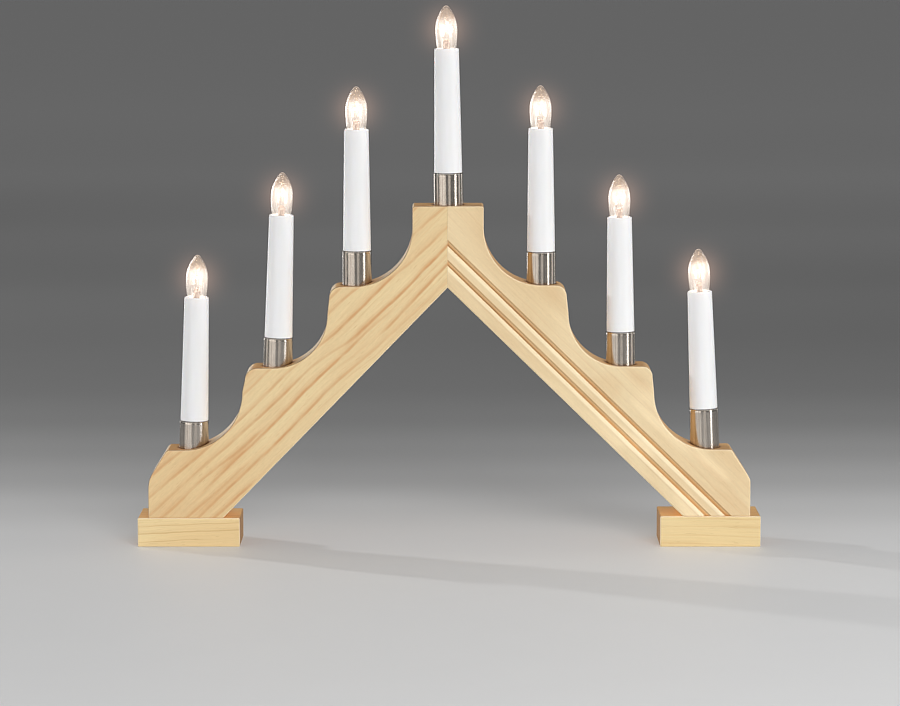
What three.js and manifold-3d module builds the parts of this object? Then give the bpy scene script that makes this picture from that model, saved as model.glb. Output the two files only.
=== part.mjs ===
// Electric window candlestick with seven lights.
// Two pine arms stand at 45 degrees on two foot blocks and meet in a vertical mitre joint.
// Each arm is cut in three scalloped steps. Every step, and the flat top, carries a metal
// sleeve with a white candle tube, a lamp socket inside the tube, and a screw-in flame bulb.
// Millimetres, +Z up, the front faces -Y, origin under the middle of the object on the floor.
import * as THREE from 'three';
import { mergeVertices } from 'three/addons/utils/BufferGeometryUtils.js';
import Module from 'manifold-3d';

// ---------------------------------------------------------------- driving dimensions (mm)
const GAP = 0.3;                 // clearance kept between neighbouring pieces

// arms
const ARM_FRONT_Y = -18.5;       // front face of both arms
const ARM_THICK = 28.0;
const ARM_BACK_Y = ARM_FRONT_Y + ARM_THICK;
const ARM_MID_Y = ARM_FRONT_Y + ARM_THICK / 2;
const MITRE_X = -1.0;            // plane in which the two arms meet
const MITRE_GAP = 0.15;          // half of the joint's width
const TOP_Z = 219.3;             // flat top of the joined arms
const LOWER_APEX_Z = 167.4;      // where the lower edges of the arms meet
const ARRIS = 0.9;               // eased edge on the arms
const ARC_SEGMENTS = 12;
// per arm: half width of the top, then for every scallop its wall, its radius and its seat height;
// the walls lean in a little to the rounded corner of the seat above; end is the sloping outer end
const ARMS = {
  left: {
    side: -1, topHalf: 22.4, seatX: [76.6, 131.2], seatZ: [168.0, 115.7, 62.7], scallopR: [37.7, 34.8, 37.8],
    cornerIn: [1.2, 1.7], cornerR: [6.8, 7.5], lowerSlope: 1.0324, footTop: 19.0,
    end: [[178.9, 62.7], [180.3, 61.9], [181.6, 60.1], [184.8, 54.9], [188.2, 49.4], [190.0, 46.3], [191.2, 43.2],
      [191.8, 40.0], [192.0, 36.5]],
  },
  right: {
    side: 1, topHalf: 22.95, seatX: [77.0, 131.9], seatZ: [168.8, 116.7, 63.1], scallopR: [36.8, 34.3, 36.9],
    cornerIn: [1.2, 1.05], cornerR: [6.8, 6.3], lowerSlope: 0.9765, footTop: 20.2,
    end: [[181.0, 63.1], [182.2, 62.6], [187.6, 54.2], [192.9, 45.9], [193.9, 44.0], [194.2, 42.2]],
  },
};
// two milled grooves on the front of the right arm: profile as (distance from lower edge, height)
const GROOVE_START = 7.15;
const GROOVE_PITCH = 9.1;
const GROOVE_PROFILE = [
  [0, 0], [1.2, -0.12], [2.1, -0.42], [2.7, -0.9], [2.95, -1.3], [3.0, -2.2], [3.5, -2.2], [5.5, -0.75], [5.65, 0],
];

// wiring channel in the back of the arms, and the inlet of the mains lead
const CHANNEL_W = 8.0;
const CHANNEL_DEPTH = 14.0;
const CHANNEL_APEX_Z = 191.96;   // height of its centre line at the mitre, 45 degrees down from there
const CHANNEL_END = 165.5;       // lower end, distance from the mitre
const INLET_W = 7.0;
const INLET_DEPTH = 8.0;
const WIRE_HOLE_R = 3.5;
const WIRE_R = 1.2;
const WIRE_Y = -1.5;

// feet
const FOOT_FRONT_Y = -19.0;
const FOOT_DEPTH = 38.0;
const FOOT_ARRIS = 0.8;
const FEET = {
  left: { x0: -200.0, x1: -134.4, height: 19.0 - GAP },
  right: { x0: 135.5, x1: 200.0, height: 20.2 - GAP },
};
const SCREW_X = [156.5, 183.0];  // from the mitre, one pair in each foot
const SCREW_Y = -11.0;
const SCREW_HOLE_R = 2.4;
const SCREW_LEN = 34.0;
const SCREW_RECESS = 1.0;

// dowel across the mitre
const DOWEL_R = 3.5;
const DOWEL_LEN = 30.0;
const DOWEL_Y = -11.5;           // in front of the wiring channel
const DOWEL_Z = 182.0;
const DOWEL_HOLE_R = 3.9;

// candle assembly, measured along the candle's own axis from the rim of its sleeve
const SLEEVE_R = 9.4;
const SLEEVE_WALL = 0.3;
const SLEEVE_LEN = 32.0;
const BORE_R = 9.85;
const TUBE_LEN = 105.0;
const TUBE_TOP_R = 7.8;
const TUBE_RIM_R = 8.88;
const TUBE_WALL = 0.8;
const SOCKET_R = 6.45;
const SOCKET_BORE_R = 5.25;
// number, x and z of the sleeve rim, length of tube above the rim, lean to +X in degrees
const CANDLES = [
  [1, -163.9, 80.5, 79.5, 1.6],
  [2, -109.45, 134.3, 78.5, 1.75],
  [3, -58.9, 190.1, 77.3, -0.1],
  [4, -0.6, 239.9, 78.7, -0.75],
  [5, 58.75, 189.6, 78.5, -0.4],
  [6, 109.85, 138.2, 73.2, -0.85],
  [7, 163.6, 88.5, 75.4, -2.45],
];

// ---------------------------------------------------------------- helpers
const wasm = await Module();
wasm.setup();

// merges the shared vertices, drops collapsed triangles and turns the faces outwards
function closed(geometry) {
  let g = geometry.clone();
  for (const name of Object.keys(g.attributes)) if (name !== 'position') g.deleteAttribute(name);
  g = mergeVertices(g, 1e-4);
  const index = g.index.array;
  const p = g.attributes.position;
  const kept = [];
  let volume = 0;
  const a = new THREE.Vector3(), b = new THREE.Vector3(), c = new THREE.Vector3();
  for (let i = 0; i < index.length; i += 3) {
    const [i0, i1, i2] = [index[i], index[i + 1], index[i + 2]];
    if (i0 === i1 || i1 === i2 || i2 === i0) continue;
    kept.push(i0, i1, i2);
    a.fromBufferAttribute(p, i0); b.fromBufferAttribute(p, i1); c.fromBufferAttribute(p, i2);
    volume += a.dot(b.cross(c));
  }
  if (volume < 0) for (let i = 0; i < kept.length; i += 3) [kept[i + 1], kept[i + 2]] = [kept[i + 2], kept[i + 1]];
  g.setIndex(kept);
  return g;
}

function toManifold(geometry) {
  const g = closed(geometry);
  return new wasm.Manifold(new wasm.Mesh({
    numProp: 3,
    vertProperties: new Float32Array(g.attributes.position.array),
    triVerts: new Uint32Array(g.index.array),
  }));
}

function fromManifold(solid) {
  const m = solid.getMesh();
  const g = new THREE.BufferGeometry();
  g.setAttribute('position', new THREE.BufferAttribute(new Float32Array(m.vertProperties), 3));
  g.setIndex(new THREE.BufferAttribute(new Uint32Array(m.triVerts), 1));
  return g;
}

function cut(solid, ...cutters) {
  let s = solid;
  for (const c of cutters) s = s.subtract(toManifold(c));
  return s;
}

// turned piece: profile points are [radius, height], the axis is +Z
function turned(profile, segments) {
  const g = new THREE.LatheGeometry(profile.map(([r, h]) => new THREE.Vector2(r, h)), segments);
  g.rotateX(Math.PI / 2);
  return closed(g);
}

function box(x0, x1, y0, y1, z0, z1) {
  const g = new THREE.BoxGeometry(x1 - x0, y1 - y0, z1 - z0);
  g.translate((x0 + x1) / 2, (y0 + y1) / 2, (z0 + z1) / 2);
  return g;
}

function arcPoints(cx, cy, r, from, to, n) {
  const out = [];
  for (let i = 0; i <= n; i++) {
    const t = from + ((to - from) * i) / n;
    out.push([cx + r * Math.cos(t), cy + r * Math.sin(t)]);
  }
  return out;
}

// section extruded along a smooth path through the given points, closed at both ends
function tube(points, radius, sides, steps) {
  const shape = new THREE.Shape(
    arcPoints(0, 0, radius, 0, 2 * Math.PI * (1 - 1 / sides), sides - 1).map(([x, y]) => new THREE.Vector2(x, y)),
  );
  const path = new THREE.CatmullRomCurve3(points.map((p) => new THREE.Vector3(...p)), false, 'centripetal');
  return new THREE.ExtrudeGeometry(shape, { steps, bevelEnabled: false, extrudePath: path });
}

function material(color, roughness, metalness, opacity = 1) {
  return new THREE.MeshStandardMaterial({
    color, roughness, metalness, opacity, transparent: opacity < 1,
  });
}

const group = new THREE.Group();
group.name = 'window_candlestick';

function add(parent, name, geometry, mat) {
  const mesh = new THREE.Mesh(geometry, mat);
  mesh.name = name;
  parent.add(mesh);
  return mesh;
}

// frame of a candle: origin on the rim of its sleeve, +Z along the leaning axis
function candleMatrix([, x, z, , lean]) {
  const m = new THREE.Matrix4().makeRotationY(THREE.MathUtils.degToRad(lean));
  m.setPosition(x, ARM_MID_Y, z);
  return m;
}

// ---------------------------------------------------------------- arms
// outline in the plane of the arm: distance from the mitre and height above the floor
function armOutline(a) {
  const over = 14; // runs past the mitre and below the foot, both are sawn off afterwards
  const pts = [[-over, TOP_Z]];
  pts.push([a.topHalf - 1.3, TOP_Z], [a.topHalf - 0.4, TOP_Z - 0.4], [a.topHalf, TOP_Z - 1.3]);
  let wall = a.topHalf;
  for (let i = 0; i < 3; i++) {
    const r = a.scallopR[i];
    const seat = a.seatZ[i];
    pts.push(...arcPoints(wall + r, seat + r, r, Math.PI, 1.5 * Math.PI, ARC_SEGMENTS));
    if (i < 2) {
      const c = a.cornerR[i];
      pts.push(...arcPoints(a.seatX[i] - a.cornerIn[i] - c, seat - c, c, Math.PI / 2, 0, 5));
      wall = a.seatX[i];
    }
  }
  pts.push(...a.end);
  const low = a.footTop - over;
  pts.push([a.end[a.end.length - 1][0], low], [(LOWER_APEX_Z - low) / a.lowerSlope, low], [-over, LOWER_APEX_Z + over * a.lowerSlope]);
  return pts;
}

// straight cutter down the arm from a point on the mitre: section as (distance square to the line, outward)
function alongArm(a, section, from, to, faceY, outward, apexZ, slope) {
  const shape = new THREE.Shape(section.map(([s, h]) => new THREE.Vector2(s, h)));
  const g = new THREE.ExtrudeGeometry(shape, { depth: to - from, bevelEnabled: false });
  g.translate(0, 0, from);
  const angle = Math.atan(slope);
  const n = new THREE.Vector3(a.side * Math.sin(angle), 0, Math.cos(angle));
  const d = new THREE.Vector3(a.side * Math.cos(angle), 0, -Math.sin(angle));
  const m = new THREE.Matrix4().makeBasis(n, new THREE.Vector3(0, outward, 0), d);
  m.setPosition(MITRE_X, faceY, apexZ);
  g.applyMatrix4(m);
  return g;
}

function buildArm(a) {
  const outline = armOutline(a).map(([x, z]) => new THREE.Vector2(a.side * x, z));
  const board = new THREE.ExtrudeGeometry(new THREE.Shape(outline), {
    depth: ARM_THICK - 2 * ARRIS, bevelEnabled: true, bevelThickness: ARRIS, bevelSize: ARRIS,
    bevelOffset: -ARRIS, bevelSegments: 1, curveSegments: 1,
  });
  board.rotateX(Math.PI / 2);
  board.translate(MITRE_X, ARM_BACK_Y - ARRIS, 0);
  let solid = toManifold(board);

  // sawn at the mitre and level with the foot
  const mitre = a.side > 0
    ? box(-60, MITRE_X + MITRE_GAP, -40, 40, 120, 260)
    : box(MITRE_X - MITRE_GAP, 60, -40, 40, 120, 260);
  solid = cut(solid, mitre, box(-260, 260, -40, 40, -40, a.footTop));

  // grooves on the front of the right arm
  if (a.side > 0) {
    for (const start of [GROOVE_START, GROOVE_START + GROOVE_PITCH]) {
      const section = [[start, 2], ...GROOVE_PROFILE.map(([s, h]) => [start + s, h]), [start + 5.65, 2]];
      solid = cut(solid, alongArm(a, section, -40, 300, ARM_FRONT_Y, -1, LOWER_APEX_Z, a.lowerSlope));
    }
  }

  // wiring channel, rounded at its lower end
  const half = CHANNEL_W / 2;
  const endX = CHANNEL_END;
  const endZ = CHANNEL_APEX_Z - endX;
  const channel = [[-half, -CHANNEL_DEPTH], [half, -CHANNEL_DEPTH], [half, 3], [-half, 3]];
  solid = cut(solid, alongArm(a, channel, -40, endX * Math.SQRT2, ARM_BACK_Y, 1, CHANNEL_APEX_Z, 1));
  const routed = new THREE.CylinderGeometry(CHANNEL_W / 2, CHANNEL_W / 2, CHANNEL_DEPTH + 3, 16);
  routed.translate(MITRE_X + a.side * endX, ARM_BACK_Y - CHANNEL_DEPTH + (CHANNEL_DEPTH + 3) / 2, endZ);
  solid = cut(solid, routed);

  // inlet of the mains lead, from the end of the left arm into the channel
  if (a.side < 0) {
    solid = cut(solid, box(MITRE_X - 220, MITRE_X - endX, ARM_BACK_Y - INLET_DEPTH, ARM_BACK_Y + 3, endZ - INLET_W / 2, endZ + INLET_W / 2));
  }

  // sleeve bores and the wire holes under them
  for (const c of CANDLES) {
    const onSide = a.side > 0 ? c[1] > -5 : c[1] < 5;
    if (!onSide) continue;
    const m = candleMatrix(c);
    const bore = new THREE.CylinderGeometry(BORE_R, BORE_R, SLEEVE_LEN + GAP + 20, 24);
    bore.rotateX(Math.PI / 2);
    bore.translate(0, 0, -(SLEEVE_LEN + GAP) + (SLEEVE_LEN + GAP + 20) / 2);
    bore.applyMatrix4(m);
    const dist = Math.abs(c[1] - MITRE_X);
    const channelZ = CHANNEL_APEX_Z - dist;
    const holeLen = c[2] - SLEEVE_LEN - channelZ + 2;
    const hole = new THREE.CylinderGeometry(WIRE_HOLE_R, WIRE_HOLE_R, holeLen + 6, 12);
    hole.rotateX(Math.PI / 2);
    hole.translate(0, 0, -SLEEVE_LEN + 4 - (holeLen + 6) / 2);
    hole.applyMatrix4(m);
    solid = cut(solid, bore, hole);
  }

  // dowel hole across the mitre
  const dowel = new THREE.CylinderGeometry(DOWEL_HOLE_R, DOWEL_HOLE_R, DOWEL_LEN + 2 * GAP, 12);
  dowel.rotateZ(Math.PI / 2);
  dowel.translate(MITRE_X, DOWEL_Y, DOWEL_Z);
  solid = cut(solid, dowel);

  // pilot holes of the foot screws
  for (const x of SCREW_X) {
    const top = SCREW_RECESS + SCREW_LEN + 1;
    const pilot = new THREE.CylinderGeometry(SCREW_HOLE_R, SCREW_HOLE_R, top, 10);
    pilot.rotateX(Math.PI / 2);
    pilot.translate(MITRE_X + a.side * x, SCREW_Y, top / 2);
    solid = cut(solid, pilot);
  }
  return fromManifold(solid);
}

const pine = () => material(0xe3c795, 0.42, 0);
add(group, 'left_arm', buildArm(ARMS.left), pine());
add(group, 'right_arm', buildArm(ARMS.right), pine());

const dowelGeometry = turned([[0, -DOWEL_LEN / 2], [DOWEL_R - 0.8, -DOWEL_LEN / 2], [DOWEL_R, -DOWEL_LEN / 2 + 1],
  [DOWEL_R, DOWEL_LEN / 2 - 1], [DOWEL_R - 0.8, DOWEL_LEN / 2], [0, DOWEL_LEN / 2]], 12);
const dowel = add(group, 'mitre_dowel', dowelGeometry, material(0xd9b98a, 0.6, 0));
dowel.rotation.y = Math.PI / 2;
dowel.position.set(MITRE_X, DOWEL_Y, DOWEL_Z);

// ---------------------------------------------------------------- feet and their screws
function buildFoot(f, side) {
  const w = f.x1 - f.x0;
  const shape = new THREE.Shape([
    new THREE.Vector2(0, 0), new THREE.Vector2(w, 0), new THREE.Vector2(w, FOOT_DEPTH), new THREE.Vector2(0, FOOT_DEPTH),
  ]);
  const g = new THREE.ExtrudeGeometry(shape, {
    depth: f.height - 2 * FOOT_ARRIS, bevelEnabled: true, bevelThickness: FOOT_ARRIS, bevelSize: FOOT_ARRIS,
    bevelOffset: -FOOT_ARRIS, bevelSegments: 1,
  });
  g.translate(f.x0, FOOT_FRONT_Y, FOOT_ARRIS);
  let solid = toManifold(g);
  for (const x of SCREW_X) {
    const px = MITRE_X + side * x;
    const through = new THREE.CylinderGeometry(SCREW_HOLE_R, SCREW_HOLE_R, 40, 10);
    through.rotateX(Math.PI / 2);
    through.translate(px, SCREW_Y, 15);
    const sink = turned([[0, -1], [4.5, -1], [4.5, SCREW_RECESS + 0.3], [2.2, SCREW_RECESS + 2.9], [0, SCREW_RECESS + 2.9]], 10);
    sink.translate(px, SCREW_Y, 0);
    solid = cut(solid, through, sink);
  }
  return fromManifold(solid);
}

add(group, 'left_foot', buildFoot(FEET.left, -1), pine());
add(group, 'right_foot', buildFoot(FEET.right, 1), pine());

// countersunk wood screw, head down
const screwProfile = [[0, 0], [4.0, 0], [4.0, 0.4], [2.0, 2.6], [2.0, 15], [1.6, 16], [2.0, 17.2], [1.6, 18.4],
  [2.0, 30], [0.6, SCREW_LEN - 0.6], [0, SCREW_LEN]];
for (const [side, label] of [[-1, 'left'], [1, 'right']]) {
  SCREW_X.forEach((x, i) => {
    const s = add(group, `foot_screw_${label}_${i + 1}`, turned(screwProfile, 8), material(0xc9b26a, 0.35, 1));
    s.position.set(MITRE_X + side * x, SCREW_Y, SCREW_RECESS);
  });
}

// ---------------------------------------------------------------- candles
const TUBE_SEG = 20;
const BULB_SEG = 12;
const SOCKET_TOP = -5.0;         // the heights below are measured from the top of the candle tube
const SOCKET_FLOOR = -18.0;
const SOCKET_BOTTOM = -20.6;

const sleeveProfile = [
  [SLEEVE_R - SLEEVE_WALL, -SLEEVE_LEN], [SLEEVE_R, -SLEEVE_LEN], [SLEEVE_R, -0.25], [SLEEVE_R - 0.12, 0],
  [SLEEVE_R - SLEEVE_WALL, 0], [SLEEVE_R - SLEEVE_WALL, -SLEEVE_LEN],
];

// candle tube: straight taper above the rim, slightly slimmer seat inside the sleeve
function tubeProfile(visible) {
  const low = visible - TUBE_LEN;
  return [
    [TUBE_RIM_R - TUBE_WALL, low], [TUBE_RIM_R, low], [TUBE_RIM_R, 0], [TUBE_TOP_R, visible - 0.7],
    [TUBE_TOP_R - 0.35, visible], [TUBE_TOP_R - TUBE_WALL + 0.1, visible], [TUBE_TOP_R - TUBE_WALL, visible - 0.6],
    [TUBE_RIM_R - TUBE_WALL, 0], [TUBE_RIM_R - TUBE_WALL, low],
  ];
}

const socketProfile = [
  [0, SOCKET_BOTTOM], [SOCKET_R - 1.2, SOCKET_BOTTOM], [SOCKET_R, SOCKET_BOTTOM + 1.6], [SOCKET_R, SOCKET_TOP],
  [SOCKET_BORE_R, SOCKET_TOP], [SOCKET_BORE_R, SOCKET_FLOOR], [0, SOCKET_FLOOR],
];

// flame-shaped glass: outside from the neck to the tip, then back down inside
const GLASS_OUT = [[3.85, -7.5], [3.85, -5.2], [5.75, 0.4], [6.6, 5.8], [7.0, 11.4], [6.8, 14.6], [5.75, 18.2],
  [3.95, 22.2], [2.05, 25.4], [0.85, 26.9], [0, 27.3]];
const GLASS_IN = [[0, 26.2], [1.6, 24.6], [3.4, 21.6], [5.15, 17.8], [6.15, 14.3], [6.4, 11.3], [6.0, 5.8], [5.15, 0.7],
  [3.25, -4.7], [3.25, -7.5], [3.85, -7.5]];

// screw cap with its rolled thread, open at the top
const CAP_PROFILE = [[0, -16.6], [2.6, -16.6], [4.3, -15.4], [4.7, -14.3], [4.35, -13.2], [4.7, -12.1], [4.35, -11.0],
  [4.7, -9.9], [4.35, -8.8], [4.7, -7.7], [4.5, -5.6], [4.2, -5.6], [4.0, -14.6], [0, -15.2]];
const CONTACT_PROFILE = [[0, -17.7], [1.4, -17.65], [2.2, -17.2], [2.2, -16.9], [0, -16.9]];
// glass stem that carries the filament
const STEM_PROFILE = [[0, -7.4], [2.7, -7.4], [2.2, -4.0], [2.0, 3.6], [1.5, 5.4], [0, 6.2]];

function filamentGeometry() {
  const stem = toManifold(turned(STEM_PROFILE, 8));
  const wire = tube([[-1.0, 0, 4.6], [-2.1, 0, 8.0], [-2.3, 0, 11.4], [-1.1, 0, 13.2], [0, 0, 12.4], [1.1, 0, 13.2],
    [2.3, 0, 11.4], [2.1, 0, 8.0], [1.0, 0, 4.6]], 0.3, 4, 12);
  return fromManifold(stem.add(toManifold(wire)));
}

for (const c of CANDLES) {
  const [n, , , visible] = c;
  const holder = new THREE.Group();
  holder.applyMatrix4(candleMatrix(c));
  group.add(holder);
  add(holder, `sleeve_${n}`, turned(sleeveProfile, TUBE_SEG), material(0xb9b2a6, 0.3, 1));
  add(holder, `candle_tube_${n}`, turned(tubeProfile(visible), TUBE_SEG), material(0xf4f2ee, 0.35, 0));

  const top = new THREE.Group();
  top.position.z = visible;
  holder.add(top);
  add(top, `lamp_socket_${n}`, turned(socketProfile, BULB_SEG), material(0xe9e6dd, 0.5, 0));
  add(top, `bulb_contact_${n}`, turned(CONTACT_PROFILE, 8), material(0xb8b6b0, 0.4, 1));
  add(top, `bulb_cap_${n}`, turned(CAP_PROFILE, BULB_SEG), material(0xc9a860, 0.3, 1));
  add(top, `bulb_glass_${n}`, turned([...GLASS_OUT, ...GLASS_IN], BULB_SEG), material(0xfff3e0, 0.05, 0, 0.4));
  add(top, `filament_${n}`, filamentGeometry(), material(0xffd9a0, 0.4, 0.3));
}

// ---------------------------------------------------------------- wiring
// one lead in the channel of each arm with a branch up to every socket
function loom(side) {
  const startX = GAP / 2 + 0.1;
  const line = (x) => CHANNEL_APEX_Z - x;
  const world = (x, y, z) => [MITRE_X + side * x, y, z];
  const points = [];
  for (const x of [startX, 40, 80, 120, CHANNEL_END - 1.0]) points.push(world(x, WIRE_Y, line(x)));
  const trunk = new THREE.LineCurve3(new THREE.Vector3(...points[0]), new THREE.Vector3(...points[points.length - 1]));
  const octagon = new THREE.Shape(arcPoints(0, 0, WIRE_R, 0, 2 * Math.PI * (7 / 8), 7).map(([x, y]) => new THREE.Vector2(x, y)));
  let solid = toManifold(new THREE.ExtrudeGeometry(octagon, { steps: 1, bevelEnabled: false, extrudePath: trunk }));
  for (const c of CANDLES) {
    const centre = c[0] === 4;
    if (side > 0 ? c[1] < -5 : c[1] > -5) continue;
    const m = candleMatrix(c);
    const dist = centre ? 1.9 : Math.abs(c[1] - MITRE_X);
    const off = centre ? 1.6 : 0;
    const foot = new THREE.Vector3(...world(dist, WIRE_Y, line(dist)));
    const at = (w, y, o) => new THREE.Vector3(o, y - ARM_MID_Y, w).applyMatrix4(m);
    const end = c[3] + SOCKET_BOTTOM - 0.4;
    const w0 = foot.z - c[2];
    const route = [foot, at(w0 + 5.0, -3.7, off), at(w0 + 13, ARM_MID_Y, off), at(-10, ARM_MID_Y, off * 0.5), at(20, ARM_MID_Y, 0), at(end, ARM_MID_Y, 0)];
    solid = solid.add(toManifold(tube(route.map((v) => v.toArray()), WIRE_R, 6, 10)));
  }
  // the two leads meet in the mitre plane
  const keep = side > 0 ? box(-60, MITRE_X + GAP / 2, -40, 40, 100, 198) : box(MITRE_X - GAP / 2, 60, -40, 40, 100, 198);
  solid = cut(solid, keep);
  return fromManifold(solid);
}
add(group, 'wiring_left', loom(-1), material(0xf2efe6, 0.45, 0));
add(group, 'wiring_right', loom(1), material(0xf2efe6, 0.45, 0));

export default group;
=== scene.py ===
import math

import bmesh
import bpy
from mathutils import Matrix, Vector


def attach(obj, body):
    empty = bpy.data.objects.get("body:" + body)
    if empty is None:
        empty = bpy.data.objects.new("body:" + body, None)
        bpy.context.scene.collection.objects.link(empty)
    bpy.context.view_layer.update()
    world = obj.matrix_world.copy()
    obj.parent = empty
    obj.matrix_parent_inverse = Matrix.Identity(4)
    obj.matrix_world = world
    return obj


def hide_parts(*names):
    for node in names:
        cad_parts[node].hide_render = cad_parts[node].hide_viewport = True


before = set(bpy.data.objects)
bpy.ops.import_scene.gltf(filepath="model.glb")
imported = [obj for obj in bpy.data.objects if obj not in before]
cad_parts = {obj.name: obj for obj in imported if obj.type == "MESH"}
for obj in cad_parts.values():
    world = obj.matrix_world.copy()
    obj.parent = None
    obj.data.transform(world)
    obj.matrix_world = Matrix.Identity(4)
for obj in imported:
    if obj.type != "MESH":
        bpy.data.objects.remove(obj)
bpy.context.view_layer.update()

MM = 0.001

# ------------------------------------------------------------------ dimensions in mm, as in the construction model
ARM_FRONT_Y, ARM_BACK_Y, ARM_MID_Y = -18.5, 9.5, -4.5
MITRE_X = -1.0
MITRE_GAP = 0.03
TOP_Z = 219.3
LOWER_APEX_Z = 167.4
ARRIS = 0.9
ARMS = {
    "left": dict(
        side=-1, topHalf=22.4, seatX=[76.6, 131.2], seatZ=[168.0, 115.7, 62.7], r=[37.7, 34.8, 37.8],
        cornerIn=[1.2, 1.7], cornerR=[6.8, 7.5], slope=1.0324, footTop=19.0,
        end=[(178.9, 62.7), (180.3, 61.9), (181.6, 60.1), (184.8, 54.9), (188.2, 49.4), (190.0, 46.3), (191.2, 43.2),
             (191.8, 40.0), (192.0, 36.5)],
    ),
    "right": dict(
        side=1, topHalf=22.95, seatX=[77.0, 131.9], seatZ=[168.8, 116.7, 63.1], r=[36.8, 34.3, 36.9],
        cornerIn=[1.2, 1.05], cornerR=[6.8, 6.3], slope=0.9765, footTop=20.2,
        end=[(181.0, 63.1), (182.2, 62.6), (187.6, 54.2), (192.9, 45.9), (193.9, 44.0), (194.2, 42.2)],
    ),
}
GROOVE_START, GROOVE_PITCH = 7.15, 9.1
GROOVE = [
    (0.0, 0.0), (0.5, -0.02), (1.0, -0.08), (1.5, -0.2), (1.95, -0.36), (2.3, -0.56), (2.6, -0.82), (2.82, -1.1),
    (2.9, -1.4), (2.92, -2.2), (3.4, -2.2), (4.0, -1.75), (4.7, -1.2), (5.15, -0.85), (5.22, -0.45), (5.28, 0.0),
]
CHANNEL_APEX_Z, CHANNEL_W, CHANNEL_DEPTH, CHANNEL_END = 191.96, 8.0, 14.0, 165.5
INLET_W, INLET_DEPTH = 7.0, 8.0
FEET = {"left": (-200.0, -134.4, 18.7), "right": (135.5, 200.0, 19.9)}
FOOT_FRONT_Y, FOOT_DEPTH, FOOT_ARRIS = -19.0, 38.0, 0.8
SCREW_X, SCREW_Y, SCREW_LEN, SCREW_RECESS = (156.5, 183.0), -11.0, 34.0, 1.0
SLEEVE_R, SLEEVE_WALL, SLEEVE_LEN, BORE_R = 9.4, 0.3, 32.0, 9.85
TUBE_LEN, TUBE_TOP_R, TUBE_RIM_R, TUBE_WALL = 105.0, 7.8, 8.88, 0.8
CANDLES = [  # number, x and z of the sleeve rim, tube above the rim, lean to +X in degrees
    (1, -163.9, 80.5, 79.5, 1.6), (2, -109.45, 134.3, 78.5, 1.75), (3, -58.9, 190.1, 77.3, -0.1),
    (4, -0.6, 239.9, 78.7, -0.75), (5, 58.75, 189.6, 78.5, -0.4), (6, 109.85, 138.2, 73.2, -0.85),
    (7, 163.6, 88.5, 75.4, -2.45),
]


# ------------------------------------------------------------------ camera: long lens, a little above the object
camera_data = bpy.data.cameras.new("camera")
camera = bpy.data.objects.new("camera", camera_data)
bpy.context.scene.collection.objects.link(camera)
camera_data.sensor_fit = "HORIZONTAL"
camera_data.sensor_width = 36.0
camera_data.lens = 132.9
camera_data.clip_start, camera_data.clip_end = 0.05, 60.0
camera.location = (0.000546, -2.119, 0.400)
camera.rotation_euler = (math.radians(90.0 - 7.4424), 0.0, 0.0)
bpy.context.scene.camera = camera


# ------------------------------------------------------------------ node helpers
class Value:
    """A socket or a number, with arithmetic that makes Math nodes."""

    def __init__(self, tree, source):
        self.tree, self.source = tree, source

    def op(self, kind, *others, clamp=False):
        n = self.tree.nodes.new("ShaderNodeMath")
        n.operation, n.use_clamp = kind, clamp
        for i, v in enumerate((self, *others)):
            plug(self.tree, v, n.inputs[i])
        return Value(self.tree, n.outputs[0])

    def __add__(self, o): return self.op("ADD", o)
    def __sub__(self, o): return self.op("SUBTRACT", o)
    def __mul__(self, o): return self.op("MULTIPLY", o)
    def __truediv__(self, o): return self.op("DIVIDE", o)
    def power(self, o): return self.op("POWER", o)
    def floor(self): return self.op("FLOOR")
    def fract(self): return self.op("FRACT")
    def abs(self): return self.op("ABSOLUTE")
    def clamp(self): return self.op("ADD", 0.0, clamp=True)

    def between(self, a, b, c=0.0, d=1.0, smooth=True):
        n = self.tree.nodes.new("ShaderNodeMapRange")
        n.interpolation_type = "SMOOTHSTEP" if smooth else "LINEAR"
        n.clamp = True
        plug(self.tree, self, n.inputs["Value"])
        for k, v in (("From Min", a), ("From Max", b), ("To Min", c), ("To Max", d)):
            n.inputs[k].default_value = v
        return Value(self.tree, n.outputs[0])


def plug(tree, value, socket):
    if isinstance(value, Value):
        value = value.source
    if isinstance(value, bpy.types.NodeSocket):
        tree.links.new(value, socket)
    elif isinstance(value, (tuple, list)) and len(value) == 3 and socket.type == "RGBA":
        socket.default_value = (*value, 1.0)
    else:
        socket.default_value = value


def dot(tree, vector, direction):
    n = tree.nodes.new("ShaderNodeVectorMath")
    n.operation = "DOT_PRODUCT"
    plug(tree, vector, n.inputs[0])
    n.inputs[1].default_value = direction
    return Value(tree, n.outputs["Value"])


def combine(tree, x, y, z):
    n = tree.nodes.new("ShaderNodeCombineXYZ")
    for i, v in enumerate((x, y, z)):
        plug(tree, v, n.inputs[i])
    return n.outputs[0]


def noise(tree, vector, scale=1.0, detail=2.0, rough=0.5, distortion=0.0, w=None):
    n = tree.nodes.new("ShaderNodeTexNoise")
    if w is not None:
        n.noise_dimensions = "1D"
        plug(tree, w, n.inputs["W"])
    else:
        n.noise_dimensions = "3D"
        plug(tree, vector, n.inputs["Vector"])
    n.inputs["Scale"].default_value = scale
    n.inputs["Detail"].default_value = detail
    n.inputs["Roughness"].default_value = rough
    n.inputs["Distortion"].default_value = distortion
    return Value(tree, n.outputs[0])


def white(tree, w):
    n = tree.nodes.new("ShaderNodeTexWhiteNoise")
    n.noise_dimensions = "1D"
    plug(tree, w, n.inputs["W"])
    return Value(tree, n.outputs["Value"])


def blend_colour(tree, factor, a, b, kind="MIX"):
    n = tree.nodes.new("ShaderNodeMix")
    n.data_type, n.blend_type = "RGBA", kind
    n.clamp_factor = True
    plug(tree, factor, n.inputs[0])
    plug(tree, a, n.inputs[6])
    plug(tree, b, n.inputs[7])
    return n.outputs[2]


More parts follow.
